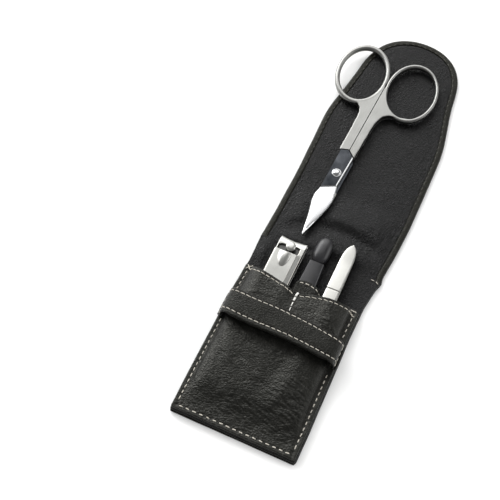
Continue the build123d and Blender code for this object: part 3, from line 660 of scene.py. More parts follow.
strap_line = [(-29.0, 4.35), (-27.2, 4.4), (-26.4, 4.85), (-26.2, 6.4), (-26.2, 8.6), (-25.9, 10.7), (-24.5, 12.05), (-20.0, 12.55),
              (-12.0, 12.8), (0.0, 12.85), (12.0, 12.75), (20.0, 12.6), (24.7, 12.1), (26.2, 10.8), (26.6, 8.6), (26.6, 6.4),
              (26.7, 4.85), (27.2, 4.4), (29.0, 4.35)]
line, g = along(np.array([(x, z) for x, z in strap_line]), 0.2)
k = np.exp(-0.5 * (np.arange(-12, 13) * 0.2 / 0.7) ** 2)
k /= k.sum()
pad = np.pad(line, ((12, 12), (0, 0)), mode="reflect", reflect_type="odd")
line = np.stack([np.convolve(pad[:, i], k, mode="valid") for i in (0, 1)], 1)
line, g = along(line, 0.55)


def strap_grid(lift, s_in, rows=30):
    tan = np.gradient(line, axis=0)
    tan /= np.linalg.norm(tan, axis=1, keepdims=True)
    nrm = np.stack([-tan[:, 1], tan[:, 0]], 1)
    t = np.linspace(0, 1, rows)[:, None]
    base = line + nrm * lift
    x = np.clip(base[None, :, 0], -HALF + 1.15, HALF - 1.0) * np.ones_like(t)
    wide = strap_w(base[:, 0])[None, :]
    s = strap_path(base[:, 0])[None, :] + s_in + t * (wide - 2 * s_in)
    z = base[None, :, 1] * np.ones_like(t)
    mid = step01(24 - np.abs(x), 0, 6)
    # crowned across its width, the edges turned down a little, the thread lines pulled in
    d_low = t * (wide - 2 * s_in) + s_in
    z = z + mid * (0.22 * (1 - ((d_low / wide - 0.5) * 2) ** 4) - 0.25)
    z = z + mid * (0.18 * grain(x, s, 9, 51) + 0.06 * grain(x, s, 3.5, 53))
    if lift > 1:
        z = z - 0.13 * (bump(d_low, 2.2, 0.45) + bump(wide - d_low, 1.4, 0.45))
    return np.stack([x, s, z], 2)


PS = strap_grid(1.5, 0.55, 44)
t = PS[..., 1] - PS[:1, :, 1] + 0.55
roll = (1 - step01(t, 0.9, 1.9)) * step01(24 - np.abs(PS[..., 0]), 0, 3)
PS[..., 2] += 0.22 * roll
strap = make("strap_outer", *thick(PS, 0.98 + 0.75 * roll, 0.9, 7), M_STRAP, "case", 60, "case_leather", replaces=("strap_leather",))
P = strap_grid(0.5, 0.8)
strap_lin = make("strap_backing", *thick(P, 0.46, 0.9), M_LINING, "case", 60, "case_lining", replaces=("strap_lining",))

# ---- thread on the case
lot = Lot()


def surface_row(pts, zf, normal_from=None):
    """Points of a line lifted to the surface zf, with the surface's normals."""
    q, _ = along(np.array(pts, float), 0.25)
    e = 0.15
    z = zf(q[:, 0], q[:, 1])
    dx = (zf(q[:, 0] + e, q[:, 1]) - zf(q[:, 0] - e, q[:, 1])) / (2 * e)
    ds = (zf(q[:, 0], q[:, 1] + e) - zf(q[:, 0], q[:, 1] - e)) / (2 * e)
    N = np.stack([-dx, -ds, np.ones_like(dx)], 1)
    return np.column_stack([q, z]), N


P, N = surface_row([(-26.5, 3.3), (-26.5, 73.2)], front_z)
stitches(lot, P, N, skip=lambda p: strap_path(p[0]) - 0.6 < p[1] < strap_top(p[0]) + 0.4)
P, N = surface_row([(26.5, 3.3), (26.5, 71.2)], front_z)
stitches(lot, P, N, skip=lambda p: strap_path(p[0]) - 0.6 < p[1] < strap_top(p[0]) + 0.4)
P, N = surface_row([(-26.7, 2.35), (26.7, 2.35)], front_z)
stitches(lot, P, N, pitch=3.05)
row = [(x, mouth(x) - 1.55) for x in np.arange(-27.2, -1.9, 0.5)]
P, N = surface_row(row, front_z)
stitches(lot, P, N, pitch=2.6, length=2.35, width=0.36, first=0.4, last=0.3)
row = [(x, mouth(x) - 1.55) for x in np.arange(-0.1, 27.0, 0.5)]
P, N = surface_row(row, front_z)
stitches(lot, P, N, pitch=2.6, length=2.35, width=0.36, first=0.3, last=0.2)
row = [(x, inner_edge(x) - 1.35) for x in np.arange(-2.9, 9.0, 0.25)]
P, N = surface_row(row, inner_z)
stitches(lot, P, N, pitch=2.5, length=1.9, width=0.42, first=0.3, last=0.2)

# strap rows, and the ends of the thread at its corners
cols = np.arange(PS.shape[1])
span = PS[-1, :, 1] - PS[0, :, 1]
for d in (2.2 - 0.55 + 0 * span, span + 0.55 - 1.4):
    f = d / span * (PS.shape[0] - 1)
    i = f.astype(int)
    w = (f - i)[:, None]
    row = PS[i, cols] * (1 - w) + PS[i + 1, cols] * w
    nn = np.cross(np.gradient(row, axis=0), np.tile([0, 1.0, 0], (len(row), 1)))
    nn /= np.linalg.norm(nn, axis=1, keepdims=True)
    keep = np.abs(row[:, 0]) < 28.6
    stitches(lot, row[keep], nn[keep], pitch=2.65, length=2.35, width=0.38, first=0.5, last=0.5, lift=0.1)
# the side seam goes on over the foot of the strap's ends
for k, foot in ((1, 7.4), (-1, 6.6)):
    q, _ = along(np.array([(k * 28.0, float(strap_path(k * 27.0)) + 0.3), (k * 28.0, float(strap_top(k * 27.0)) - 0.3)]), 0.25)
    P = np.column_stack([q, np.full(len(q), foot)])
    stitches(lot, P, np.tile([0.97 * k, 0, 0.24], (len(q), 1)), first=0.3, last=0.2, lift=0.08)
# thread crossing the seam at the mouth's corners, and short ends at the notches
z0 = 4.3
for pts in ([(-27.9, 75.2), (-26.2, 73.4), (-24.6, 72.2)], [(-27.6, 72.6), (-26.2, 74.2), (-25.2, 75.0)],
            [(23.9, 71.4), (25.4, 73.0), (27.0, 73.2), (27.9, 71.8)], [(24.6, 71.9), (26.2, 70.6), (27.8, 70.9)]):
    q, _ = along(np.array(pts, float), 0.25)
    z = np.maximum(front_z(q[:, 0], q[:, 1]), 4.3)
    P = np.column_stack([q, z + 0.05])
    stitches(lot, P, np.tile([0, 0, 1.0], (len(q), 1)), pitch=30, length=min(5.0, np.linalg.norm(q[-1] - q[0]) + 0.9),
             first=0.1, last=0.1, lift=0.22, jitter=0.3)
for pts in ([(28.3, 90.6), (26.2, 91.5), (23.6, 91.6)],):
    q, _ = along(np.array(pts, float), 0.25)
    P = np.column_stack([q, np.full(len(q), 2.12)])
    stitches(lot, P, np.tile([0, 0, 1.0], (len(q), 1)), pitch=2.3, length=2.1, width=0.3, first=0.1, last=0.1, lift=0.1)
# the same seam seen on the back
for pts, pitch in (([(-26.4, 3.6), (-26.4, 90.0)], 2.9), ([(26.4, 3.6), (26.4, 90.0)], 2.9), ([(-24.9, 2.6), (25.0, 2.6)], 3.05)):
    q, _ = along(np.array(pts, float), 0.3)
    P = np.column_stack([q, np.full(len(q), 0.14)])
    stitches(lot, P, np.tile([0, 0, -1.0], (len(q), 1)), pitch=pitch, lift=0.03)
seams = make("seam_stitches", lot.pts, lot.f, M_THREAD, "case", 80, "thread", replaces=("seam_thread",))

# bar tack at the dip of the mouth: short thick stitches one under the other
lot = Lot()
for a, b, w in (((-0.75, 69.1), (-0.95, 66.9), 0.98), ((-0.85, 66.6), (-0.95, 64.5), 0.86), ((-0.9, 64.1), (-0.8, 61.6), 0.5),
                ((-0.75, 61.2), (-0.6, 59.2), 0.4)):
    q, _ = along(np.array([a, b], float), 0.25)
    z = front_z(q[:, 0], np.minimum(q[:, 1], 68.0))
    P = np.column_stack([q, z])
    stitches(lot, P, np.tile([0, 0, 1.0], (len(q), 1)), pitch=30, length=np.linalg.norm(q[-1] - q[0]) + 0.2, width=w,
             first=0.02, last=0.02, lift=0.24, jitter=0.4)
tack = make("bar_tack_stitches", lot.pts, lot.f, M_TACK, "case", 80, "tack_thread", replaces=("bar_tack",))

# =============================================================== throat, spine and flap
flap_table = [(29.0, 92.0), (29.0, 123.5), (28.9, 140.0), (28.7, 152.0), (28.4, 162.0), (27.7, 169.0), (26.7, 175.0), (25.5, 182.0),
              (24.5, 188.5), (23.7, 194.5), (22.7, 199.5), (21.2, 203.8), (18.7, 208.3), (15.2, 212.2), (11.0, 215.0),
              (5.8, 216.8), (0.0, 217.35)]
right = np.array(flap_table)
full = np.vstack([right, (right * [-1, 1])[-2::-1]])
full, g = along(full, 0.5)
k = np.exp(-0.5 * (np.arange(-14, 15) * 0.5 / 1.8) ** 2)
k /= k.sum()
pad = np.pad(full, ((14, 14), (0, 0)), mode="reflect", reflect_type="odd")
full = np.stack([np.convolve(pad[:, i], k, mode="valid") for i in (0, 1)], 1)
mid = len(full) // 2
outline = full[: mid + 1].copy()
outline[-1, 0] = 0.0
outline, _ = along(outline, 0.7)
tan = np.gradient(outline, axis=0)
tan /= np.linalg.norm(tan, axis=1, keepdims=True)
out_n = np.stack([tan[:, 1], -tan[:, 0]], 1)
out_n[-1] = (0, 1)
lean = curve([(92, 0), (118, 0.15), (135, 0.65), (160, 0.5), (184, -0.3), (203, -0.55), (218, -0.3)], 4)

def lift(x, s):
    """The leather arches off the table on both sides of the crease it folds along."""
    x = np.asarray(x, float)
    s = np.asarray(s, float)
    v = 107.5 - 0.0115 * (x - 3) ** 2
    side = step01(25.8 - np.abs(x), 0, 13)
    tip = 1 - 0.85 * bump(x, -11.5, 4.5) * step01(s, 95, 99)
    a = 0.85 * step01(s, 92.5, 98) * step01(v - s, 0.2, 6.0)
    b = 1.15 * step01(s - v, 0.2, 5.4) * step01(128 - s, 0, 15)
    return (a + b) * side * tip


# the turned edge in section: distance from the edge, height
EDGE = [(6.0, 0.0), (3.4, 0.0), (2.9, 0.03), (2.5, 0.0), (1.5, 0.0), (0.8, 0.05), (0.35, 0.22), (0.09, 0.55), (0.0, 0.98),
        (0.07, 1.4), (0.28, 1.74), (0.65, 1.96), (1.2, 2.06), (1.9, 2.06), (2.4, 2.02), (2.62, 1.93), (2.7, 1.78), (2.75, 1.5)]
COLS = 41


def panel_loops(part, lining=False):
    """Closed sections of the turned-edge panel at the outline rows in part."""
    loops = []
    for k in part:
        w, s = outline[k]
        nx, ns = out_n[k]
        if lining:
            d = 3.0
            hw, sk = max(w - nx * d, 0.0), s - ns * d
            u = np.linspace(-1, 1, COLS)
            top = np.column_stack([u * hw, np.full(COLS, sk), 1.84 + 0.10 * (1 - u ** 8)])
            bot = np.column_stack([u[::-1] * hw, np.full(COLS, sk), np.full(COLS, 1.46)])
            lp = np.vstack([top, bot])
            lp[:COLS, 2] += 0.07 * grain(lp[:COLS, 0], lp[:COLS, 1], 12, 61) * (1 - u ** 8)
        else:
            R = np.array([(max(w - nx * d, 0.0), s - ns * d, z) for d, z in EDGE])
            L = (R * [-1, 1, 1])[::-1]
            n_in = COLS - 2
            u = np.linspace(-1, 1, n_in + 2)[1:-1]
            under = np.column_stack([u * R[0, 0], np.full(n_in, R[0, 1]), np.zeros(n_in)])
            over = np.column_stack([u[::-1] * R[-1, 0], np.full(n_in, R[-1, 1]), np.full(n_in, 1.38)])
            lp = np.vstack([under, R, over, L])
        lp[:, 2] += lift(lp[:, 0], lp[:, 1])
        lp[:, 0] += lean(lp[:, 1])
        loops.append(lp)
    return loops


def rows_between(a, b):
    """Outline rows from s = a to s = b on the straight part, with exact ends."""
    s = outline[:, 1]
    return [k for k in range(len(outline)) if a - 1e-6 <= s[k] <= b + 1e-6]


def cut_outline(a):
    """Puts an exact row at s = a on the outline's side."""
    global outline, out_n
    s = outline[:, 1]
    k = int(np.argmax(s > a))
    t = (a - s[k - 1]) / (s[k] - s[k - 1])
    p = outline[k - 1] * (1 - t) + outline[k] * t
    n = out_n[k - 1] * (1 - t) + out_n[k] * t
    outline = np.insert(outline, k, p, axis=0)
    out_n = np.insert(out_n, k, n / np.linalg.norm(n), axis=0)


for a in (91.65, CUT_A, CUT_B, CUT_C):
    cut_outline(a)


def panel(name, a, b, mat, slot, lining=False, to_tip=False, body=None, blend=None, replaces=(), angle=60):
    if to_tip:
        part = [k for k in range(len(outline)) if k >= rows_between(a, a)[0]]
    else:
        part = rows_between(a, b)
    loops = panel_loops(part, lining)
    if to_tip:
        # the section closes to a line at the tip
        c = loops[-1].copy()
        c[:, 0] = lean(c[:, 1])
        loops[-1] = c
    ob = make(name, *tube(loops, caps=True), mat, body, angle, slot)
    if blend:
        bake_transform(ob)
    if replaces:
        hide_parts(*replaces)
    return ob


def two_tone(ob):
    """Hem and outer face in one piece: the turned edge takes the hem leather."""
    ob.data.materials.append(M_HEM)
    for p in ob.data.polygons:
        z = sum(ob.data.vertices[v].co.z for v in p.vertices) / len(p.vertices) / MM
        if z > 0.5:
            p.material_index = 1


throat = panel("throat_leather", 91.65, CUT_A, M_OUTER, "case_leather", body="case")
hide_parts("back_outer")
throat_lin = panel("throat_lining_sheet", 91.65, CUT_A, M_LINING, "case_lining", True, body="case", replaces=("throat_lining",))
fold1 = panel("fold_leather_a", CUT_A, CUT_B, M_OUTER, "case_leather", blend=("case", "spine"))
fold2 = panel("fold_leather_b", CUT_B, CUT_C, M_OUTER, "case_leather", blend=("spine", "flap"), replaces=("spine_leather",))
fold1l = panel("fold_lining_a", CUT_A, CUT_B, M_LINING, "case_lining", True, blend=("case", "spine"))
fold2l = panel("fold_lining_b", CUT_B, CUT_C, M_LINING, "case_lining", True, blend=("spine", "flap"), replaces=("spine_lining",))
flap = panel("flap_outer", CUT_C, None, M_OUTER, "case_leather", to_tip=True, body="flap", replaces=("flap_leather",))
flap_lin = panel("flap_lining_sheet", CUT_C, None, M_LINING, "case_lining", True, to_tip=True, body="flap",
                 replaces=("flap_lining",))
for ob in (throat, fold1, fold2, flap):
    two_tone(ob)


# stitches on the flap's outer face, 2.2 mm inside its edge
def flap_rows(a, b, both=True):
    part = [k for k in range(len(outline)) if a <= outline[k, 1] <= b]
    R = np.array([(outline[k, 0] - out_n[k, 0] * 2.3, outline[k, 1] - out_n[k, 1] * 2.3) for k in part])
    return R


R = flap_rows(CUT_C + 0.3, 500)
R[-1, 0] = 0
whole = np.vstack([R, (R * [-1, 1])[-2::-1]])
whole[:, 0] += lean(whole[:, 1])
q, _ = along(whole, 0.3)
P = np.column_stack([q, np.full(len(q), 0.13)])
lot = Lot()
stitches(lot, P, np.tile([0, 0, -1.0], (len(q), 1)), pitch=2.9, lift=0.03)
make("flap_stitches", lot.pts, lot.f, M_THREAD, "flap", 80, "thread")
lot = Lot()
P = np.column_stack([q, np.full(len(q), 2.02)])
stitches(lot, P, np.tile([0, 0, 1.0], (len(q), 1)), pitch=2.9, width=0.4, length=1.7, lift=0.06)
make("flap_stitches_inside", lot.pts, lot.f, M_UNDER, "flap", 80, "thread")
for nm, a, b, pair in (("a", CUT_A, CUT_B, ("case", "spine")), ("b", CUT_B, CUT_C, ("spine", "flap"))):
    lot = Lot()
    R = flap_rows(a + 0.4, b - 0.4)
    for k in (1, -1):
        q = R * [k, 1]
        q[:, 0] += lean(q[:, 1])
        q, _ = along(q, 0.3)
        P = np.column_stack([q, np.full(len(q), 0.13)])
        stitches(lot, P, np.tile([0, 0, -1.0], (len(q), 1)), pitch=2.9, lift=0.03, first=0.3, last=0.3)
    ob = make("fold_stitches_" + nm, lot.pts, lot.f, M_THREAD, None, 80, "thread")
    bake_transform(ob)

# =============================================================== scissors
SCX, SCS, SCA = -10.4, 133.4, radians(2.1)


def sc(p, q, z):
    p, q, z = np.broadcast_arrays(np.asarray(p, float), np.asarray(q, float), np.asarray(z, float))
    return np.stack([SCX + p * cos(SCA) + q * sin(SCA), SCS - p * sin(SCA) + q * cos(SCA), z], -1)


def ring_tube(cx, cy, a_in, b_in, a_out, b_out, tilt_in, tilt_out, z0, z1, n=96, m=20):
    """Ring bar between two tilted ellipses, with a rounded section."""
    loops = []
    for i in range(n):
        t = 2 * pi * i / n

        def pt(a, b, tilt):
            u, v = a * cos(t), b * sin(t)
            return np.array([cx + u * cos(tilt) - v * sin(tilt), cy + u * sin(tilt) + v * cos(tilt)])

        pi_, po = pt(a_in, b_in, tilt_in), pt(a_out, b_out, tilt_out)
        c, h = (pi_ + po) / 2, (po - pi_) / 2
        lp = []
        for j in range(m):
            f = 2 * pi * j / m
            cu, sv = cos(f), sin(f)
            cu = np.sign(cu) * abs(cu) ** 0.8
            sv = np.sign(sv) * abs(sv) ** 0.8
            lp.append((*(c + h * cu), (z0 + z1) / 2 + (z1 - z0) / 2 * sv))
        loops.append(np.array(lp))
    return loops


def smooth_outline(pts, sigma, spacing=0.35, corners=()):
    """A closed outline rounded over sigma."""
    p = np.asarray(pts, float)
    q, _ = along(np.vstack([p, p[:1]]), spacing)
    q = q[:-1]
    if sigma > 0:
        n = int(3 * sigma / spacing) + 1
        k = np.exp(-0.5 * (np.arange(-n, n + 1) * spacing / sigma) ** 2)
        k /= k.sum()
        e = np.vstack([q[-n:], q, q[:n]])
        q = np.stack([np.convolve(e[:, i], k, mode="valid") for i in (0, 1)], 1)
    return q


def fuse(name, parts, voxel, smooth_n, mat, body, slot, cuts=(), replaces=(), angle=50):
    """Closed parts in (p, q, z) millimetres, fused into one smooth body and set on the flap."""
    L = Lot()
    for pts, faces in parts:
        L.add(pts, faces)
    me = bpy.data.meshes.new("raw")
    me.from_pydata([tuple(p) for p in L.pts], [], L.f)
    bm = bmesh.new()
    bm.from_mesh(me)
    bmesh.ops.recalc_face_normals(bm, faces=bm.faces)
    bm.to_mesh(me)
    bm.free()
    tmp = bpy.data.objects.new("raw", me)
    scene.collection.objects.link(tmp)
    r = tmp.modifiers.new("r", "REMESH")
    r.mode = "VOXEL"
    r.voxel_size = voxel
    r.adaptivity = 0.0
    s = tmp.modifiers.new("s", "SMOOTH")
    s.factor = 0.5
    s.iterations = smooth_n
    dg = bpy.context.evaluated_depsgraph_get()
    done = bpy.data.meshes.new_from_object(tmp.evaluated_get(dg))
    if cuts:
        bm = bmesh.new()
        bm.from_mesh(done)
        for co, no in cuts:
            bmesh.ops.bisect_plane(bm, geom=bm.verts[:] + bm.edges[:] + bm.faces[:], plane_co=co, plane_no=no,
                                   clear_outer=True, dist=1e-5)
            rim = [e for e in bm.edges if e.is_boundary]
            bmesh.ops.holes_fill(bm, edges=rim, sides=0)
        bmesh.ops.triangulate(bm, faces=[f for f in bm.faces if len(f.verts) > 4])
        bm.to_mesh(done)
        bm.free()
    co = np.empty(len(done.vertices) * 3)
    done.vertices.foreach_get("co", co)
    co = co.reshape(-1, 3)
    faces = [tuple(p.vertices) for p in done.polygons]
    bpy.data.objects.remove(tmp)
    return make(name, sc(co[:, 0], co[:, 1], co[:, 2]), faces, mat, body, angle, slot, replaces)


def ring_mid(cx, cy, a_in, b_in, a_out, b_out, tilt, start, stop, n=10):
    pts = []
    for t in np.linspace(radians(start), radians(stop), n):
        a, b = (a_in + a_out) / 2, (b_in + b_out) / 2
        u, v = a * cos(t), b * sin(t)
        pts.append((cx + u * cos(tilt) - v * sin(tilt), cy + u * sin(tilt) + v * cos(tilt)))
    return pts


LR = (-12.4, 54.2, 10.3, 14.15, 12.65, 16.75, radians(8), radians(8))
RR = (12.35, 54.5, 10.7, 14.5, 12.35, 16.45, radians(5.5), radians(6.5))
ring_l = tube(ring_tube(*LR, 2.55, 5.35), closed=True)
ring_r = tube(ring_tube(*RR, 2.55, 5.35), closed=True)
web_l = [(1.2, 11.0), (-4.22, 11.0), (-4.45, 31.0), (-4.75, 34.0), (-5.6, 36.6), (-7.6, 38.5),
         *ring_mid(*LR[:6], radians(8), 240, 345, 12), (1.2, 52.5)]
web_r = [(-1.2, 8.0), (-1.2, 52.5), *ring_mid(*RR[:6], radians(6), 190, 298, 12), (8.0, 38.4), (5.8, 36.6), (4.75, 34.0),
         (4.05, 31.0), (3.42, 8.0)]
SPLIT = 0.17
# the shanks end in a shallow V where the ground joint plate begins
fuse("scissor_left_half", [ring_l, plate(smooth_outline(web_l, 0.35), 2.35, 5.3, 0.4)], 0.2, 7, M_SHANK, "scissors",
     "satin_steel", (((-SPLIT, 0, 0), (1, 0, 0)), ((-0.3, 13.78, 0), (0.31, -0.95, 0))))
fuse("scissor_right_half", [ring_r, plate(smooth_outline(web_r[::-1], 0.35)[::-1], 2.35, 5.3, 0.4)], 0.2, 7, M_SHANK,
     "scissors_upper", "satin_steel", (((SPLIT, 0, 0), (-1, 0, 0)), ((-0.1, 13.75, 0), (-0.645, -0.764, 0))))


def faceted(outline, insets, z0, z1, soft=0.12):
    """A ground plate: each side of the outline has a chamfer of its own width."""
    o = np.asarray(outline, float)
    n = len(o)

    def inset(ds):
        lines = []
        for i in range(n):
            a, b = o[i], o[(i + 1) % n]
            d = (b - a) / np.linalg.norm(b - a)
            nn = np.array([-d[1], d[0]])
            lines.append((a + nn * ds[i], d))
        out = []
        for i in range(n):
            (p0, d0), (p1, d1) = lines[i - 1], lines[i]
            m = np.array([[d0[0], -d1[0]], [d0[1], -d1[1]]])
            k = np.linalg.solve(m, p1 - p0)
            out.append(p0 + d0 * k[0])
        return np.array(out)

    ds = np.asarray(insets, float)
    rows = [(0.08, z0), (0.0, z0 + 0.1), (0.0, z1 - 0.62)]
    loops = [np.column_stack([inset(np.full(n, a)), np.full(n, z)]) for a, z in rows]
    loops.append(np.column_stack([inset(ds * 0.5), np.full(n, z1 - 0.27)]))
    loops.append(np.column_stack([inset(ds), np.full(n, z1 - 0.015)]))
    loops.append(np.column_stack([inset(ds + soft), np.full(n, z1)]))
    return tube([sc(l[:, 0], l[:, 1], l[:, 2]) for l in loops])


def blade_loft(q_list, xl, xr, section):
    loops = []
    for q in q_list:
        sec = section(q, float(xl(q)), float(xr(q)))
        a = np.array(sec)
        loops.append(sc(a[:, 0], q, a[:, 1]))
    return loops


# lower half: flat neck and blade
xl = curve([(-34.8, -0.25), (-26, -1.6), (-16, -2.6), (-9, -3.2), (11.9, -4.2), (16, -4.2)], 0.5)
xr = curve([(-34.8, -0.05), (-30, 0.95), (-23, 2.9), (-17.5, 4.3), (-13.5, 4.7), (-8, 4.15), (8.5, 4.2), (11.2, 3.0),
            (12.4, 0.1), (16.2, -0.1)], 0.35)


def low_section(q, a, b):
    t = np.clip((q + 34.8) / 8, 0, 1)
    zt = 3.77
    zb = 2.35 + 0.9 * (1 - t)
    e = min(0.22, (b - a) * 0.2)
    ground = np.clip((-10 - q) / 3, 0, 1)
    zr = zt - 0.15 - 0.45 * ground
    return [(a + e, zb), (b - e * 2 - 1.0 * ground * t, zb), (b - 0.03, zr - 0.25), (b, zr), (b - e, zt), (a + e, zt),
            (a, zt - e), (a, zb + e)]


qs = np.r_[np.linspace(13.3, 6, 24), np.linspace(5.5, -12, 24), np.linspace(-12.6, -34.7, 46)]
lp = blade_loft(qs, xl, xr, low_section)
lower = make("scissor_lower_blade", *tube(lp), M_BLADE, "scissors", 30, "polished_steel", ("scissor_lower",))
# the neck near the joint takes the joint plate's painted dark reflection, the rest of the lower half satin steel
lower.data.materials.append(M_JOINT_PLATE_PAINTED_DARK)
lower.data.materials.append(M_SHANK)
y_neck = (SCS - 9.0 - S0) * MM
for p in lower.data.polygons:
    p.material_index = 1 if p.center.y > y_neck else 2

# upper half: joint plate, its flat face coloured dark as a painted dark reflection, with a bright bevel along its right
# side, then the ground blade
PLATE = [(-3.78, 12.3), (-3.55, -9.65), (3.05, -6.1), (3.38, 10.45), (-0.2, 13.5)]
pl = make("scissor_joint_plate", *faceted(PLATE, (0.14, 0.42, 0.62, 0.2, 0.16), 3.88, 5.2), M_JOINT_PLATE_PAINTED_DARK, "scissors_upper",
          20, "polished_steel")
pl.data.materials.append(M_POLISH)
for p in pl.data.polygons:
    n = p.normal
    if 0.2 < n.z < 0.97 and (n.x > 0.2 or n.y < -0.25):
        p.material_index = 1

uxl = curve([(-34.9, -0.3), (-27.5, -1.75), (-21.5, -3.05), (-17.5, -4.1), (-13.6, -4.5), (-9.8, -3.6), (0, -3.6)], 0.3)
uxr = curve([(-34.9, -0.1), (-31, 0.85), (-25, 2.45), (-18.5, 4.0), (-14, 4.45), (-9.5, 3.8), (-6, 3.1), (0, 3.1)], 0.4)


def blade_rows(lo=3.88, hi=5.0):
    loops = []
    for q0 in np.linspace(-7.95, -34.9, 70):
        k = 0.55 * float(step01(q0, -24, -7.95))
        a = float(uxl(q0 - 3.8 * k))
        b = float(uxr(q0 + 3.4 * k))
        t = float(np.clip((q0 + 34.9) / 10, 0, 1)) ** 0.7
        w = b - a
        zt, zb = hi - 0.02 * (1 - t), lo + 0.55 * (1 - t)
        e = min(0.28, w * 0.25)
        sec = [(a + 0.03, zb), (b - 0.03, zb), (b, zb + 0.08), (b, zt - 0.36 * t - 0.05), (b - e, zt - 0.06), (b - e - 0.06 * w, zt),
               (a + e + 0.05 * w, zt), (a + e * 0.8, zt - 0.05), (a, zt - 0.26 * t - 0.05), (a, zb + 0.08)]
        sec = np.array(sec)
        loops.append(sc(sec[:, 0], q0 + k * sec[:, 0], sec[:, 1]))
    return loops


make("scissor_upper_blade", *tube(blade_rows()), M_BLADE, "scissors_upper", 30, "polished_steel", ("scissor_upper",))


def lathe(profile, at, n=40, tilt=None):
    """A turned piece: profile as (radius, z) from the bottom of its axis to the top."""
    loops = []
    for r, z in profile:
        loops.append([at(max(r, 1e-4) * cos(a), max(r, 1e-4) * sin(a), z) for a in np.linspace(0, 2 * pi, n, endpoint=False)])
    return tube([np.array(l) for l in loops])


pts = [(0, 2.3), (1.45, 2.3), (1.45, 5.1), (2.0, 5.12), (2.15, 5.22), (2.15, 5.34), (2.0, 5.42), (1.82, 5.40), (1.74, 5.30),
       (1.66, 5.36), (1.6, 5.6), (1.42, 5.78), (1.1, 5.92), (0.6, 6.01), (0, 6.04)]
make("scissor_rivet_dome", *lathe(pts, lambda a, b, z: sc(a, b, z)), M_POLISH, "scissors", 40, "polished_steel",
     ("scissor_rivet",))

# =============================================================== clipper
CX, CW = -13.0, 12.4
PIN, REAR = 88.6, 41.5


def arc_front(x, s, s1=93.4, r=30.0, span=5.0):
    """The jaws' hollow front edge: the middle stands back."""
    w = np.clip((s - (s1 - span)) / span, 0, 1)
    u = (x - CX)
    back = (u * u - (CW / 2) ** 2) / (2 * r)
    return s + back * w


def tail(s, s0=37.0, r=3.2):
    """Half width left by the rounded rear corners."""
    d = np.clip(s - s0, 0, r)
    return CW / 2 - (r - np.sqrt(np.clip(r * r - (r - d) ** 2, 0, None)))


def arm(name, ztop, zbot, s_list, mat, body, replaces=(), slot="satin_steel", edge=0.16, s_end=93.4, dent=None, ncol=41):
    """A flat spring arm: grid of columns across, with chamfered edges, a hollow front edge and a rounded tail."""
    loops = []
    for s in s_list:
        h = tail(s)
        u = np.concatenate([[-1 + edge * 0.3 / h], np.linspace(-1 + edge / h, 1 - edge / h, ncol - 2), [1 - edge * 0.3 / h]])
        x = CX + u * h
        ss = arc_front(x, np.full_like(x, s))
        zt = np.full_like(x, float(ztop(s)))
        if dent is not None:
            zt = zt + dent(x, ss)
        zt[0] -= edge * 0.3
        zt[-1] -= edge * 0.3
        zb = np.full_like(x, float(zbot(s)))
        xs_ = np.array([CX - h, CX + h])
        se = arc_front(xs_, np.full(2, s))
        top = np.column_stack([x, ss, zt])
        bot = np.column_stack([x, ss, zb])[::-1]
        t_m, b_m = zt[1] - edge, zb[0] + edge * 0.5
        t_m = max(t_m, b_m + 0.02)
        loops.append(np.vstack([top, [[CX + h, se[1], max(zt[-2] - edge, b_m + 0.02)], [CX + h, se[1], b_m]], bot,
                                [[CX - h, se[0], b_m], [CX - h, se[0], t_m]]]))
    return make(name, *tube(loops), mat, body, 32, slot, replaces)


s_arm = np.r_[np.linspace(37.05, 40.2, 10), np.linspace(41, 84, 40), np.linspace(84.3, 93.4, 46)]
low_arm = arm("clipper_lower_plate", curve([(37, 4.0), (90.6, 4.0), (91.6, 4.15), (92.6, 4.62), (93.4, 4.5)], 0.12),
    curve([(37, 3.0), (90, 3.0), (92.8, 3.6), (93.4, 4.35)], 0.15), s_arm, M_CLIP, "clipper", ("clipper_lower_arm",))


def jaw_dent(x, s):
    """Sunk pocket round the pin, between the lever and the jaw."""
    top = 89.2 + 0.10 * (x + 18.5) - 0.55 * bump(x, -18.6, 0.6) - 0.55 * bump(x, -9.0, 0.6)
    return -1.05 * step01(s, 84.6, 85.2) * step01(top - s, 0, 0.35) * step01(x, -18.75, -18.35) * step01(-8.75 - x, 0, 0.4)


up_arm = arm("clipper_upper_plate",
             curve([(37, 5.08), (43.5, 5.08), (46, 5.3), (84.0, 7.25), (86.5, 7.6), (90.2, 7.7), (91.6, 7.55), (93.1, 6.95), (93.4, 6.5)], 0.25),
             curve([(37, 4.1), (41.5, 4.1), (46, 4.34), (80, 5.85), (86, 6.0), (90, 6.3), (92.5, 6.22), (93.4, 6.3)], 0.2), s_arm, M_CLIP,
             "clipper_upper", ("clipper_upper_arm",), dent=jaw_dent, ncol=61)
# the pocket's floor and walls take the darker steel: painted shade in the recess
up_arm.data.materials.append(M_RECESS_PAINTED_SHADE)
for p in up_arm.data.polygons:
    c = p.center / MM
    if 84.8 < c.y + S0 < 90.6 and -18.7 < c.x < -8.8 and c.z > 6.2 and (c.z < 7.35 or abs(p.normal.z) < 0.75) and p.normal.z > -0.1:
        p.material_index = 1

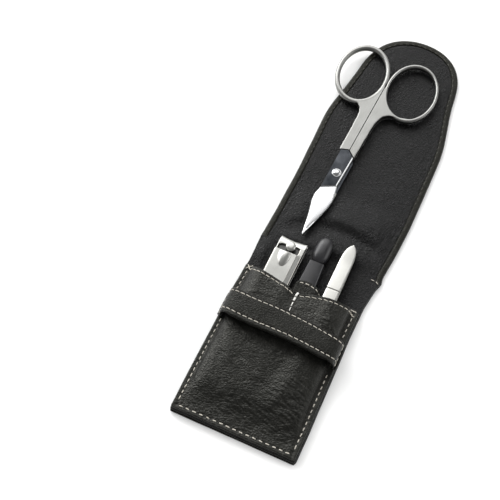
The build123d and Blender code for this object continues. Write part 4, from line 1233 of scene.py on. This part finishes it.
# lever: pressed plate with a bevel along its right side and a drop-shaped thumb boss
s_lev = np.r_[np.linspace(43.03, 46.3, 12), np.linspace(47, 76, 34), np.linspace(76.3, 85.5, 70)]
lev_top = curve([(43.0, 7.35), (60.0, 8.05), (70.0, 8.5), (78.0, 8.95), (85.6, 9.22)], 1.2)
lev_bot = curve([(43.0, 6.6), (60.0, 7.3), (74.0, 7.62), (85.4, 8.5)], 0.3)
loops = []
for s in s_lev:
    d = np.clip(s - 43.0, 0, 3.4)
    h = CW / 2 - (3.4 - sqrt(max(3.4 ** 2 - (3.4 - d) ** 2, 0)))
    b = h - 2.0
    u = np.r_[np.linspace(-h + 0.18, b - 0.12, 84), b - 0.06, b, b + 0.06, np.linspace(b + 0.15, h - 0.18, 8)]
    x = CX + u
    zt = np.full_like(x, float(lev_top(s)))
    # bevel to the right, a shallow roll to the left
    zt -= 0.22 * step01(u, b - 0.07, b + 0.07) + 0.34 * np.clip((u - b) / 2.0, 0, 1)
    zt -= 0.10 * np.clip((-u - (h - 0.8)) / 0.8, 0, 1)
    # boss: a drop-shaped dome, cut off where the lever ends
    q = 85.25 - s
    e = (q - 2.0) / (5.3 if q > 2.0 else 4.4)
    uc = (u + 0.72 - 0.08 * (q - 2)) / (2.85 * (1 - 0.16 * max(e, 0)))
    zt = zt + 0.85 * np.clip(1 - uc ** 2 - e ** 2, 0, 1) * float(step01(q, 0.0, 0.2))
    zb = float(lev_bot(s)) + 0 * x
    top = np.column_stack([x, np.full_like(x, s), zt])
    bot = np.column_stack([x, np.full_like(x, s), zb])[::-1]
    wall = 0.9 * float(step01(s, 74, 79))
    zr = float(lev_bot(s)) - wall * 0.9
    loops.append(np.vstack([top, [[CX + h, s, zt[-1] - 0.15], [CX + h, s, zb[-1] + 0.1 - wall]], bot,
                            [[CX - h, s, zb[0] + 0.1 - wall], [CX - h, s, zt[0] - 0.15]]]))
lever = make("clipper_lever_plate", *tube(loops), M_CLIP, "clipper_upper", 42, "satin_steel", ("clipper_lever",))
# side faces of the lever and arms take the darker steel: painted shade on the plates' sides
for ob in (lever, up_arm, low_arm):
    ob.data.materials.append(M_SIDE_PAINTED_SHADE)
    k = len(ob.data.materials) - 1
    for p in ob.data.polygons:
        if abs(p.normal.x) > 0.5:
            p.material_index = k


def at_pin(cx, cs):
    return lambda a, b, z: np.array([cx + a, cs + b, z])


pts = [(0, 4.0), (1.8, 4.0), (1.8, 4.5), (1.3, 4.6), (1.3, 8.1), (2.05, 8.12), (2.25, 8.3), (2.3, 8.75), (2.2, 9.15), (1.95, 9.45),
       (1.55, 9.62), (0.9, 9.7), (0, 9.7)]
make("clipper_pin_head", *lathe(pts, at_pin(CX, PIN)), M_CLIP, "clipper", 35, "polished_steel", ("clipper_pin",))
pts = [(0, 3.02), (0.98, 3.02), (0.98, 5.06), (1.6, 5.08), (1.7, 5.2), (1.6, 5.36), (1.2, 5.42), (0, 5.43)]
make("clipper_rear_rivet_head", *lathe(pts, at_pin(CX, REAR)), M_POLISH, "clipper_upper", 35, "polished_steel",
     ("clipper_rear_rivet",))

# =============================================================== nail file
FA = radians(1.5)


def fi(t, u, z):
    t, u, z = np.broadcast_arrays(np.asarray(t, float), np.asarray(u, float), np.asarray(z, float))
    return np.stack([2.25 + t * cos(FA) - u * sin(FA), t * sin(FA) + u * cos(FA), z], -1)


def oval(hw, z0, z1, n=40, p=0.5, top=1.0):
    """Section of a handle: half width, lower and upper z, squareness p."""
    out = []
    for a in np.linspace(0, 2 * pi, n, endpoint=False):
        c, s = cos(a), sin(a)
        out.append((hw * np.sign(c) * abs(c) ** p, (z0 + z1) / 2 + (z1 - z0) / 2 * np.sign(s) * abs(s) ** p))
    return out


PAD0, PAD1 = 87.4, 101.4
loops = []
for m in np.sin(np.linspace(-pi / 2, pi / 2, 46)):
    m = float(np.clip(m, -0.9995, 0.9995))
    u = (PAD0 + PAD1) / 2 + m * (PAD1 - PAD0) / 2
    k = 1 - abs(m) ** 2.6
    hw = 3.8 * k ** (1 / 2.2)
    n = np.sin(np.linspace(-pi / 2, pi / 2, 37))
    # an even dome over the whole pad
    zt = 4.85 + 2.5 * np.sqrt(np.clip(1 - np.abs(n) ** 2.2, 0, 1)) * sqrt(k)
    zb = 4.4 - 1.68 * (1 - np.abs(n) ** 6) ** 0.5 * max(k ** 0.4, 0.02)
    top = np.column_stack([0.2 + n * hw, np.full(37, u), zt])
    bot = np.column_stack([0.2 + n[::-1] * hw, np.full(37, u), zb[::-1]])
    lp = np.vstack([top, bot])
    loops.append(fi(lp[:, 0], lp[:, 1], lp[:, 2]))
L = Lot()
L.add(*tube(loops))
neck_w = curve([(56, 4.05), (77, 4.05), (87.2, 3.55)], 0.5)
loops = []
for u in np.r_[np.linspace(56.05, 57, 6), np.linspace(58, 87.6, 36)]:
    hw = float(neck_w(u))
    e = np.clip((57 - u) / 1.0, 0, 1) * 0.5
    zt, zb = 6.42 - e, 2.8 + e
    # flat upper face with a narrow slope to the right
    loops.append(fi(*np.array([(-hw + 0.25, u, zb), (hw - 0.25, u, zb), (hw, u, zb + 0.3), (hw, u, zt - 0.9), (hw - 0.15, u, zt - 0.35),
                               (hw - 0.5, u, zt - 0.06), (hw - 0.65, u, zt), (0, u, zt), (-hw + 0.75, u, zt),
                               (-hw + 0.5, u, zt - 0.07), (-hw + 0.08, u, zt - 0.6), (-hw, u, zt - 0.9), (-hw, u, zb + 0.3)]).T))
L.add(*tube(loops))
make("file_handle_body", L.pts, L.f, M_PLASTIC, "file", 35, "handle_plastic", ("file_handle",))
bw = curve([(20.5, 0.15), (21.5, 1.0), (25, 2.15), (30, 2.75), (66, 2.78)], 0.4)
loops = []
for u in np.r_[np.linspace(20.5, 26, 16), np.linspace(27, 65.9, 24)]:
    hw = max(float(bw(u)), 0.12)
    e = min(0.18, hw * 0.4)
    loops.append(fi(*np.array([(-hw + e, u, 3.32), (hw - e, u, 3.32), (hw, u, 3.5), (hw, u, 4.1), (hw - e, u, 4.28), (-hw + e, u, 4.28),
                               (-hw, u, 4.1), (-hw, u, 3.5)]).T))
make("file_blade_strip", *tube(loops), M_FILE, "file", 30, "file_steel", ("file_blade",))

# =============================================================== tweezers
TA = radians(1.2)


def tw(t, u, z):
    t, u, z = np.broadcast_arrays(np.asarray(t, float), np.asarray(u, float), np.asarray(z, float))
    return np.stack([13.6 + t * cos(TA) - u * sin(TA), t * sin(TA) + u * cos(TA), z], -1)


tw_w = curve([(20, 1.1), (24, 1.4), (38, 2.4), (60, 3.0), (92.5, 3.07), (96.2, 2.9), (99.2, 2.3), (101.4, 1.2), (102.2, 0.1)], 0.5)
us = np.r_[np.linspace(20.05, 77.2, 60), np.linspace(77.5, 78.5, 17), np.linspace(78.8, 92, 16), np.linspace(92.5, 102.15, 36)]


def tw_arm(name, top, bot, mat, body, node, score=False):
    loops = []
    for u in us:
        hw = max(float(tw_w(u)), 0.1)
        e = min(0.3, hw * 0.35)
        zt, zb = float(top(u)), float(bot(u))
        x = np.linspace(-hw + e, hw - e, 15)
        crown = 0.10 * (1 - (x / hw) ** 2)
        cut = 0.0
        if score:
            cut = 0.22 * float(bump(u, 78.0, 0.15))
        t = np.column_stack([x, np.full_like(x, u), zt - 0.1 + crown - cut])
        b = np.column_stack([x[::-1], np.full_like(x, u), np.full_like(x, zb)])
        lp = np.vstack([t, [[hw - 0.06, u, zt - 0.2 - cut], [hw, u, zt - 0.42], [hw, u, zb + 0.12]], b,
                        [[-hw, u, zb + 0.12], [-hw, u, zt - 0.42], [-hw + 0.06, u, zt - 0.2 - cut]]])
        loops.append(tw(lp[:, 0], lp[:, 1], lp[:, 2]))
    return make(name, *tube(loops), mat, body, 38, "satin_steel", (node,))


tw_arm("tweezer_lower_strip", curve([(18, 3.9), (60, 3.9), (80, 4.5), (92, 5.2), (103, 5.2)], 1.5),
       curve([(18, 3.1), (24, 3.0), (60, 3.0), (80, 3.6), (92, 4.3), (103, 4.3)], 1.5), M_TWEEZ, "tweezers", "tweezer_lower_arm")
tw_arm("tweezer_upper_strip", curve([(18, 5.55), (24, 6.3), (40, 7.0), (60, 7.3), (80, 6.8), (92, 6.14), (103, 6.14)], 1.5),
       curve([(18, 5.0), (24, 5.6), (40, 6.2), (60, 6.4), (80, 5.9), (92, 5.24), (103, 5.24)], 1.0), M_TWEEZ, "tweezers_upper",
       "tweezer_upper_arm", True)

# =============================================================== stiffening cards inside the back and the flap
xs = np.linspace(-25.5, 25.5, 21)
P = sheet_grid(xs, 3.2, lambda x: 102.4 + 0 * x, lambda x, s: 1.4 + 0.01 * grain(x, s, 8, 71), 40)
make("back_card", *thick(P, 0.35, 0.1), M_BOARD, "case", 40, replaces=("back_board",))
rows = np.linspace(CUT_C + 0.6, 208.0, 44)
hw = np.interp(rows, outline[:, 1], outline[:, 0]) - 4.0
P = np.stack([np.linspace(-1, 1, 21)[None, :] * hw[:, None], rows[:, None] * np.ones((1, 21)), 1.52 + 0 * hw[:, None] * np.ones((1, 21))], 2)
P[..., 2] += lift(P[..., 0], P[..., 1])
P[..., 0] += lean(P[..., 1])
make("flap_card", *thick(P, 0.2, 0.1), M_BOARD, "flap", 40, replaces=("flap_board",))

# =============================================================== floor, light, camera
fm, nt, sh = new_mat("paper_floor")
tc = nt.nodes.new("ShaderNodeTexCoord")
fn = noise_tex(nt, tc.outputs["Object"], 2.0, 2.0)
nt.links.new(ramp(nt, fn.outputs["Fac"], [(0.3, (0.90, 0.90, 0.895)), (0.7, (0.915, 0.915, 0.91))]), sh.inputs["Base Color"])
sh.inputs["Roughness"].default_value = 0.9
sh.inputs["Specular IOR Level"].default_value = 0.1
me = bpy.data.meshes.new("floor")
me.from_pydata([(-4, -4, -0.0001), (4, -4, -0.0001), (4, 4, -0.0001), (-4, 4, -0.0001)], [], [(0, 1, 2, 3)])
floor = bpy.data.objects.new("floor", me)
me.materials.append(fm)
scene.collection.objects.link(floor)

world = bpy.data.worlds.new("studio")
world.use_nodes = True
wt = world.node_tree
bg = wt.nodes["Background"]
bg.inputs["Color"].default_value = (1.0, 1.0, 1.0, 1)
# one broad soft source beyond the far end of the case, the rest of the room dimmer
wc = wt.nodes.new("ShaderNodeTexCoord")
dot = wt.nodes.new("ShaderNodeVectorMath")
dot.operation = "DOT_PRODUCT"
wt.links.new(wc.outputs["Generated"], dot.inputs[0])
dot.inputs[1].default_value = (-0.333, 0.714, 0.616)
glow = ramp(wt, dot.outputs["Value"], [(0.0, (0.085,) * 3), (0.80, (0.09,) * 3), (0.86, (0.23,) * 3), (0.89, (0.50,) * 3),
                                       (0.915, (0.74,) * 3), (0.955, (0.80,) * 3), (0.98, (1.05,) * 3), (1.0, (1.6,) * 3)])
wt.links.new(math(wt, "MULTIPLY", glow, 2.75), bg.inputs["Strength"])
scene.world = world


def area(name, loc, target, size, power, color=(1, 1, 1)):
    li = bpy.data.lights.new(name, "AREA")
    li.shape = "RECTANGLE"
    li.size, li.size_y = size
    li.energy = power
    li.color = color
    ob = bpy.data.objects.new(name, li)
    ob.location = loc
    ob.rotation_mode = "QUATERNION"
    ob.rotation_quaternion = (Vector(target) - Vector(loc)).to_track_quat("-Z", "Y")
    scene.collection.objects.link(ob)
    return ob


area("left_soft", (-1.5, 0.85, 0.95), (0, 0.05, 0), (1.6, 1.2), 30.0)
area("right_soft", (1.3, 0.6, 0.8), (0, 0.05, 0), (1.2, 1.0), 7.0)
# even fill that only lights matt surfaces
for nm, loc, power in (("fill_left", (-1.2, -0.3, 1.1), 9.0), ("fill_front", (0.4, -1.2, 1.1), 9.0), ("fill_right", (1.2, 0.4, 1.1), 10.0)):
    area(nm, loc, (0, 0.05, 0), (1.6, 1.6), power).visible_glossy = False

cam_d = bpy.data.cameras.new("camera")
cam = bpy.data.objects.new("camera", cam_d)
scene.collection.objects.link(cam)
cam_d.sensor_width = 36.0
cam_d.lens = 1692.9 / 500 * 36.0
cam_d.clip_start, cam_d.clip_end = 0.05, 20
az, el, roll = radians(25.457), radians(62.067), radians(-0.676)
fwd = Vector((-sin(az) * cos(el), cos(az) * cos(el), -sin(el)))
rt = Vector((cos(az), sin(az), 0))
up = rt.cross(fwd)
r2 = rt * cos(roll) + up * sin(roll)
u2 = -rt * sin(roll) + up * cos(roll)
rot = Matrix((r2, u2, -fwd)).transposed()
cam.matrix_world = Matrix.Translation((0.12096, -0.29064, 0.66510)) @ rot.to_4x4()
scene.camera = cam
scene.view_settings.view_transform = "Standard"
scene.view_settings.exposure = 0.0
